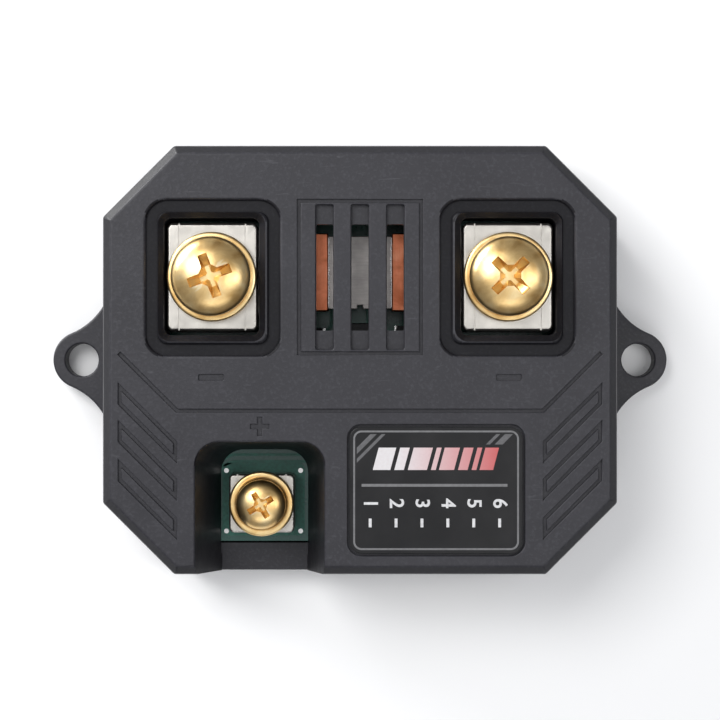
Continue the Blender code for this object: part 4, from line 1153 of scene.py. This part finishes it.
def make_pin(node):
    """Square pin that runs back from its tip and bends down to the board."""
    low, high, center = placed(node)
    r = PIN_SIDE / 2
    level = high.z - r
    heel = high.y - r
    route = [(low.y, level)]
    for angle in (0, 30, 60, 90):
        turn = math.radians(angle)
        route.append((heel - PIN_BEND + PIN_BEND * math.sin(turn),
            level - PIN_BEND + PIN_BEND * math.cos(turn)))
    route.append((heel, low.z))
    bm = bmesh.new()
    rings = []
    for i, (y, z) in enumerate(route):
        before = route[max(i - 1, 0)]
        after = route[min(i + 1, len(route) - 1)]
        dy = after[0] - before[0]
        dz = after[1] - before[1]
        length = math.hypot(dy, dz)
        ny, nz = -dz / length, dy / length
        corners = [(center[0] + sx * r, y + sn * r * ny, z + sn * r * nz)
            for sx, sn in ((-1, -1), (1, -1), (1, 1), (-1, 1))]
        rings.append([bm.verts.new(corner) for corner in corners])
    close_rings(bm, rings)
    bmesh.ops.recalc_face_normals(bm, faces=bm.faces)
    replace_piece(node, "formed", bm, GILT, "pin_brass", bevel=0.1 * MM)


# ---- the board

def make_board_details():
    """Tracks, pads and small parts on the board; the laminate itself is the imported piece."""
    dress("circuit_board", MASK)
    top = BOARD_HIGH.z
    rise = 0.035 * MM
    x, y = placed("sense_terminal_block")[2]
    pads = [prism(circle((x + sx * 4.9 * MM, y + sy * 4.0 * MM), 0.32 * MM, 20), top - rise,
        top + 2 * rise) for sx, sy in CORNERS]
    finish_piece("board_pads", pads, SOLDER, slot="tinned_metal")

    tracks = [rounded_box((x, y + 0.2 * MM), 10.9 * MM, 9.6 * MM, 0.8 * MM, 5)]
    for offset in (-0.5, 0.4, 1.3):
        level = (offset - 12.9) * MM
        tracks.append(line_strip([(x - 6.5 * MM, level - 1 * MM), (x - 4 * MM, level),
            (x + 6.8 * MM, level), (x + 9 * MM, level + 2 * MM), (x + 14 * MM, level + 2 * MM)],
            0.35 * MM))
    for step in range(5):
        start = (step * 2.4 - 4.8) * MM
        tracks.append(line_strip([(start, -2.0 * MM), (start, 3.2 * MM), (start + 1 * MM, 4.6 * MM),
            (start + 1 * MM, 9.0 * MM)], 0.4 * MM))
    finish_piece("board_tracks", [prism(track, top - rise, top + rise) for track in tracks],
        TRACK_MASK, slot="board_laminate")

    def small_box(place, shift, size, bottom, height, edge, upright):
        """Chip part of a resistor; all in millimetres, turned by 90 degrees if upright."""
        if upright:
            shift, size = (shift[1], shift[0]), (size[1], size[0])
        center = ((place[0] + shift[0]) * MM, (place[1] + shift[1]) * MM)
        outline = rounded_box(center, size[0] * MM, size[1] * MM, 0.05 * MM, 2)
        return softened(prism(outline, top + bottom * MM, top + height * MM), edge * MM)
    bodies = []
    caps = []
    for upright, places in ((False, RESISTORS_ALONG_X), (True, RESISTORS_ALONG_Y)):
        for place in places:
            bodies.append(small_box(place, (0, 0), (1.24, 1.225), 0.02, 0.55, 0.03, upright))
            caps += [small_box(place, (shift, 0), (0.45, 1.28), 0.01, 0.58, 0.04, upright)
                for shift in (-0.8, 0.8)]
    finish_piece("board_resistors", bodies, EPOXY, slot="chip_epoxy")
    finish_piece("board_resistor_ends", caps, SOLDER, slot="tinned_metal")


# ---- chips and hardware

def make_chip(node, leads_per_side, pitch, sides):
    """Moulded chip with gull-wing leads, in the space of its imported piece."""
    low, high, center = placed(node)
    width = high.x - low.x - 2 * LEAD_REACH
    length = high.y - low.y - (2 * LEAD_REACH if sides == 4 else 0)
    height = high.z - low.z

    def outline_at(margin):
        return rounded_box(center, width + 2 * margin, length + 2 * margin, 0.12 * MM, 3)
    slope = 0.15 * MM
    body = stack([(outline_at(-slope), low.z + 0.1 * MM), (outline_at(0), low.z + height * 0.48),
        (outline_at(0), low.z + height * 0.55), (outline_at(-slope), high.z)])
    dimple = shifted(turned([(0, -0.06 * MM), (0.28 * MM, -0.06 * MM), (0.34 * MM, PAST), (0, PAST)],
        24), center[0] - width / 2 + 0.8 * MM, center[1] + length / 2 - 0.8 * MM, high.z)
    replace_piece(node, "moulded", cut(body, dimple), EPOXY, "chip_epoxy", bevel=0.04 * MM)

    leads = []
    half = pitch * 0.2
    thick = 0.12 * MM
    shoulder = low.z + height * 0.5
    for index in range(leads_per_side):
        offset = (index - (leads_per_side - 1) / 2) * pitch
        for turn in (0, 180) if sides == 2 else (0, 90, 180, 270):
            reach = (width if turn in (0, 180) else length) / 2
            profile = [(reach - 0.1 * MM, shoulder), (reach + 0.25 * MM, shoulder),
                (reach + 0.4 * MM, low.z + thick), (reach + LEAD_REACH, low.z + thick),
                (reach + LEAD_REACH, low.z), (reach + 0.3 * MM, low.z),
                (reach + 0.15 * MM, shoulder - thick), (reach - 0.1 * MM, shoulder - thick)]
            lead = prism_along_y(profile, offset - half, offset + half)
            leads.append(shifted(rotated(lead, turn), *center))
    finish_piece(node + "_leads", leads, SOLDER, slot="tinned_metal")


def make_capacitor(node):
    low, high, center = placed(node)
    width = high.x - low.x
    half = width / 2
    foot = [(-half, -half), (half, -half), (half, half - 1 * MM), (half - 1 * MM, half),
        (1 * MM - half, half), (-half, half - 1 * MM)]
    base = softened(prism(moved(foot, *center), low.z, low.z + 0.9 * MM), 0.1 * MM)
    replace_piece(node, "foot", base, EPOXY, "chip_epoxy")
    r = half - 0.15 * MM
    top = high.z - low.z
    profile = [(0, 0.6 * MM), (r - 0.05 * MM, 0.6 * MM), (r - 0.05 * MM, 1.4 * MM),
        (r - 0.3 * MM, 1.75 * MM), (r - 0.3 * MM, 1.95 * MM), (r, 2.3 * MM)]
    profile += arc((r - 0.4 * MM, top - 0.4 * MM), 0.4 * MM, 0, 90, 6)
    profile += [(r - 0.9 * MM, top - 0.12 * MM), (0, top - 0.12 * MM)]
    finish_piece(node + "_can", turned(profile, 56), CAN, slot="capacitor_can",
        location=(*center, low.z), smooth=40)


def make_crystal():
    node = "timing_crystal"
    low, high, center = placed(node)
    length = high.y - low.y
    outline_at = grown_box(center, high.x - low.x, length, length / 2 - 0.1 * MM, 12)
    flange = rounded_plate(outline_at, low.z, low.z + 0.5 * MM, 0.1 * MM)
    levels = [(outline_at(-0.45 * MM), low.z + 0.45 * MM), (outline_at(-0.45 * MM), high.z - 0.4 * MM)]
    for margin, height in ((-0.55, -0.15), (-0.75, -0.03), (-0.95, 0.0)):
        levels.append((outline_at(margin * MM), high.z + height * MM))
    replace_piece(node, "drawn", [flange, stack(levels)], STEEL, "zinc_steel", smooth=40)


def make_case_screws():
    for index in range(1, 5):
        node = "case_screw_%d" % index
        low, high, center = placed(node)
        head = (high.x - low.x) / 2
        shank = 1.2 * MM
        profile = [(0, low.z), (head * 0.7, low.z)]
        profile += arc((head - 0.5 * MM, low.z + 0.5 * MM), 0.5 * MM, -60, 0, 4)
        profile += [(head, low.z + 1.6 * MM), (head - 0.1 * MM, low.z + 1.8 * MM),
            (shank * 0.8, low.z + 1.8 * MM)]
        pitch = 0.9 * MM
        z = low.z + 2.2 * MM
        while z < high.z - 1.6 * MM:
            profile += [(shank * 0.78, z), (shank, z + pitch / 2)]
            z += pitch
        profile += [(shank * 0.6, high.z - 0.9 * MM), (0, high.z)]
        mouth = cross(1.25 * MM, 0.5 * MM, 0.12 * MM)
        floor = cross(0.6 * MM, 0.3 * MM, 0.08 * MM)
        recess = stack([(mouth, low.z - PAST), (mouth, low.z), (floor, low.z + 1.1 * MM)])
        replace_piece(node, "formed", cut(turned(profile, 40), recess), STEEL, "zinc_steel",
            location=(*center, 0), smooth=40)


def dress(node, material):
    """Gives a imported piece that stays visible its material."""
    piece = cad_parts[node]
    piece.data.materials.clear()
    piece.data.materials.append(material)
    return piece


def dress_taps():
    for name, _ in SIDES:
        edge = dress("sense_tap_" + name, TIN).modifiers.new("edge", "BEVEL")
        edge.width = 0.1 * MM
        edge.segments = 2


# ---- floor and light

def make_floor():
    bm = bmesh.new()
    bmesh.ops.create_grid(bm, x_segments=1, y_segments=1, size=3.0)
    floor = link("floor", bm)
    floor.location = (0, 0, TRAY_LOW.z - 0.02 * MM)
    floor.data.materials.append(pale_floor())


def area_light(name, place, aim_height, size, power):
    data = bpy.data.lights.new(name, "AREA")
    data.shape = "RECTANGLE"
    data.size = size[0]
    data.size_y = size[1]
    data.energy = power
    lamp = add(name, data)
    lamp.location = place
    direction = Vector((0, 0, aim_height)) - Vector(place)
    lamp.rotation_euler = direction.to_track_quat("-Z", "Y").to_euler()


def make_lights():
    world = bpy.data.worlds.new("studio")
    world.use_nodes = True
    background = world.node_tree.nodes["Background"]
    background.inputs["Color"].default_value = (0.92, 0.94, 1.0, 1.0)
    background.inputs["Strength"].default_value = 0.3
    bpy.context.scene.world = world
    area_light("key_softbox", (-0.20, 0.18, 0.44), 0.01, (0.26, 0.26), 1.35)
    area_light("right_softbox", (0.26, 0.0, 0.44), 0.01, (0.14, 0.30), 0.55)
    area_light("corner_strip", (-0.34, 0.28, 0.12), 0.015, (0.3, 0.1), 2.2)
    area_light("south_fill", (0.04, -0.34, 0.40), 0.01, (0.4, 0.14), 0.35)
    area_light("top_softbox", (0.03, -0.10, 0.7), 0.01, (0.6, 0.5), 0.55)


def make_camera():
    low, high = CAD_BOX
    center = (low + high) / 2
    data = bpy.data.cameras.new("camera")
    data.lens = 100.0
    data.sensor_width = 36.0
    camera = add("camera", data)
    margin = 1.09
    span = (high.x - low.x) * margin
    distance = span * data.lens / data.sensor_width
    camera.location = (center.x, center.y, high.z + distance)
    bpy.context.scene.camera = camera
    bpy.context.scene.view_settings.view_transform = "Standard"


make_base_tray()
make_top_cover()
make_label()
make_terminals()
make_measuring_element()
make_socket()
make_board_details()
make_chip("controller_chip", 8, 0.8 * MM, 4)
make_chip("amplifier_chip", 4, 1.27 * MM, 2)
make_chip("transceiver_chip", 4, 1.27 * MM, 2)
make_chip("regulator_chip", 3, 2.3 * MM, 2)
make_capacitor("filter_capacitor_1")
make_capacitor("filter_capacitor_2")
make_crystal()
make_case_screws()
dress_taps()
make_floor()
make_lights()
make_camera()
